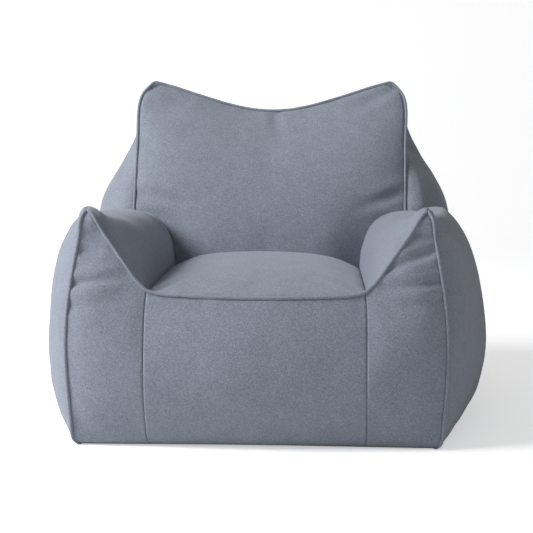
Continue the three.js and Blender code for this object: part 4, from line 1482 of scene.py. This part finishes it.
def sweep():
    """A floor that curves up into a wall behind the chair."""
    half, front, bend, height, radius = 8.0, -8.0, 2.6, 7.0, 2.2
    line = [(front, 0.0)]
    for step in range(BEND_STEPS + 1):
        angle = math.pi / 2 * step / BEND_STEPS
        line.append((bend + radius * math.sin(angle), radius * (1 - math.cos(angle))))
    line.append((bend + radius, height))
    points = [(x, y, z) for y, z in line for x in (-half, half)]
    faces = [(2 * i, 2 * i + 1, 2 * i + 3, 2 * i + 2) for i in range(len(line) - 1)]
    floor = object_of("studio_sweep", mesh_of("studio_sweep", points, faces))
    smooth_shade(floor.data)
    return floor


class ARMCHAIR_OT_stage(bpy.types.Operator):
    """Add the floor, the soft studio light and the camera"""

    bl_idname = "armchair.stage"
    bl_label = "Stage"

    def execute(self, context):
        scene = context.scene
        floor = sweep()
        material, tree, shader, _ = new_material("Pale floor", Roughness=0.9)
        shader.inputs["Base Color"].default_value = (0.93, 0.93, 0.935, 1)
        shader.inputs["Emission Color"].default_value = WHITE
        path = add_node(tree, "ShaderNodeLightPath")
        glow = math_node(tree, "MULTIPLY", path.outputs["Is Camera Ray"], FLOOR_GLOW)
        tree.links.new(glow, shader.inputs["Emission Strength"])
        floor.data.materials.append(material)
        world = bpy.data.worlds.new("Studio")
        world.use_nodes = True
        tree = world.node_tree
        sky = tree.nodes["Background"].inputs
        sky["Color"].default_value = WHITE
        seen = add_node(tree, "ShaderNodeLightPath").outputs["Is Camera Ray"]
        tree.links.new(scaled(tree, seen, SKY_SEEN - SKY_LIGHT, SKY_LIGHT), sky["Strength"])
        scene.world = world
        for light in LIGHTS:
            soft_light(*light)
        camera = object_of("camera", bpy.data.cameras.new("camera"))
        camera.data.lens = CAMERA_LENS
        level = math.cos(CAMERA_ELEVATION)
        across, ahead = math.sin(CAMERA_AZIMUTH) * level, -math.cos(CAMERA_AZIMUTH) * level
        back = Vector((across, ahead, math.sin(CAMERA_ELEVATION)))
        camera.location = CAMERA_TARGET + back * CAMERA_DISTANCE
        camera.rotation_euler = (-back).to_track_quat("-Z", "Y").to_euler()
        scene.camera = camera
        scene.view_settings.view_transform = "Standard"
        return {"FINISHED"}


# ---- Sidebar and registration --------------------------------------------------------------

OPERATORS = (
    ARMCHAIR_OT_form,
    ARMCHAIR_OT_panels,
    ARMCHAIR_OT_piping,
    ARMCHAIR_OT_zip,
    ARMCHAIR_OT_inside,
    ARMCHAIR_OT_label,
    ARMCHAIR_OT_stage,
)


class ARMCHAIR_PT_sidebar(bpy.types.Panel):
    """Lists the armchair's pieces"""

    bl_label = "Armchair"
    bl_idname = "ARMCHAIR_PT_sidebar"
    bl_space_type = "VIEW_3D"
    bl_region_type = "UI"
    bl_category = "Armchair"

    def draw(self, context):
        for operator in OPERATORS:
            self.layout.operator(operator.bl_idname)


CLASSES = (ArmchairSizes, ArmchairColours, *OPERATORS, ARMCHAIR_PT_sidebar)


def register():
    for cls in CLASSES:
        bpy.utils.register_class(cls)
    bpy.types.Scene.armchair_sizes = PointerProperty(type=ArmchairSizes)
    bpy.types.Scene.armchair_colours = PointerProperty(type=ArmchairColours)


def unregister():
    del bpy.types.Scene.armchair_colours
    del bpy.types.Scene.armchair_sizes
    for cls in reversed(CLASSES):
        bpy.utils.unregister_class(cls)


def main():
    register()
    for operator in OPERATORS:
        getattr(bpy.ops.armchair, operator.bl_idname.split(".")[1])()


if __name__ == "__main__":
    main()
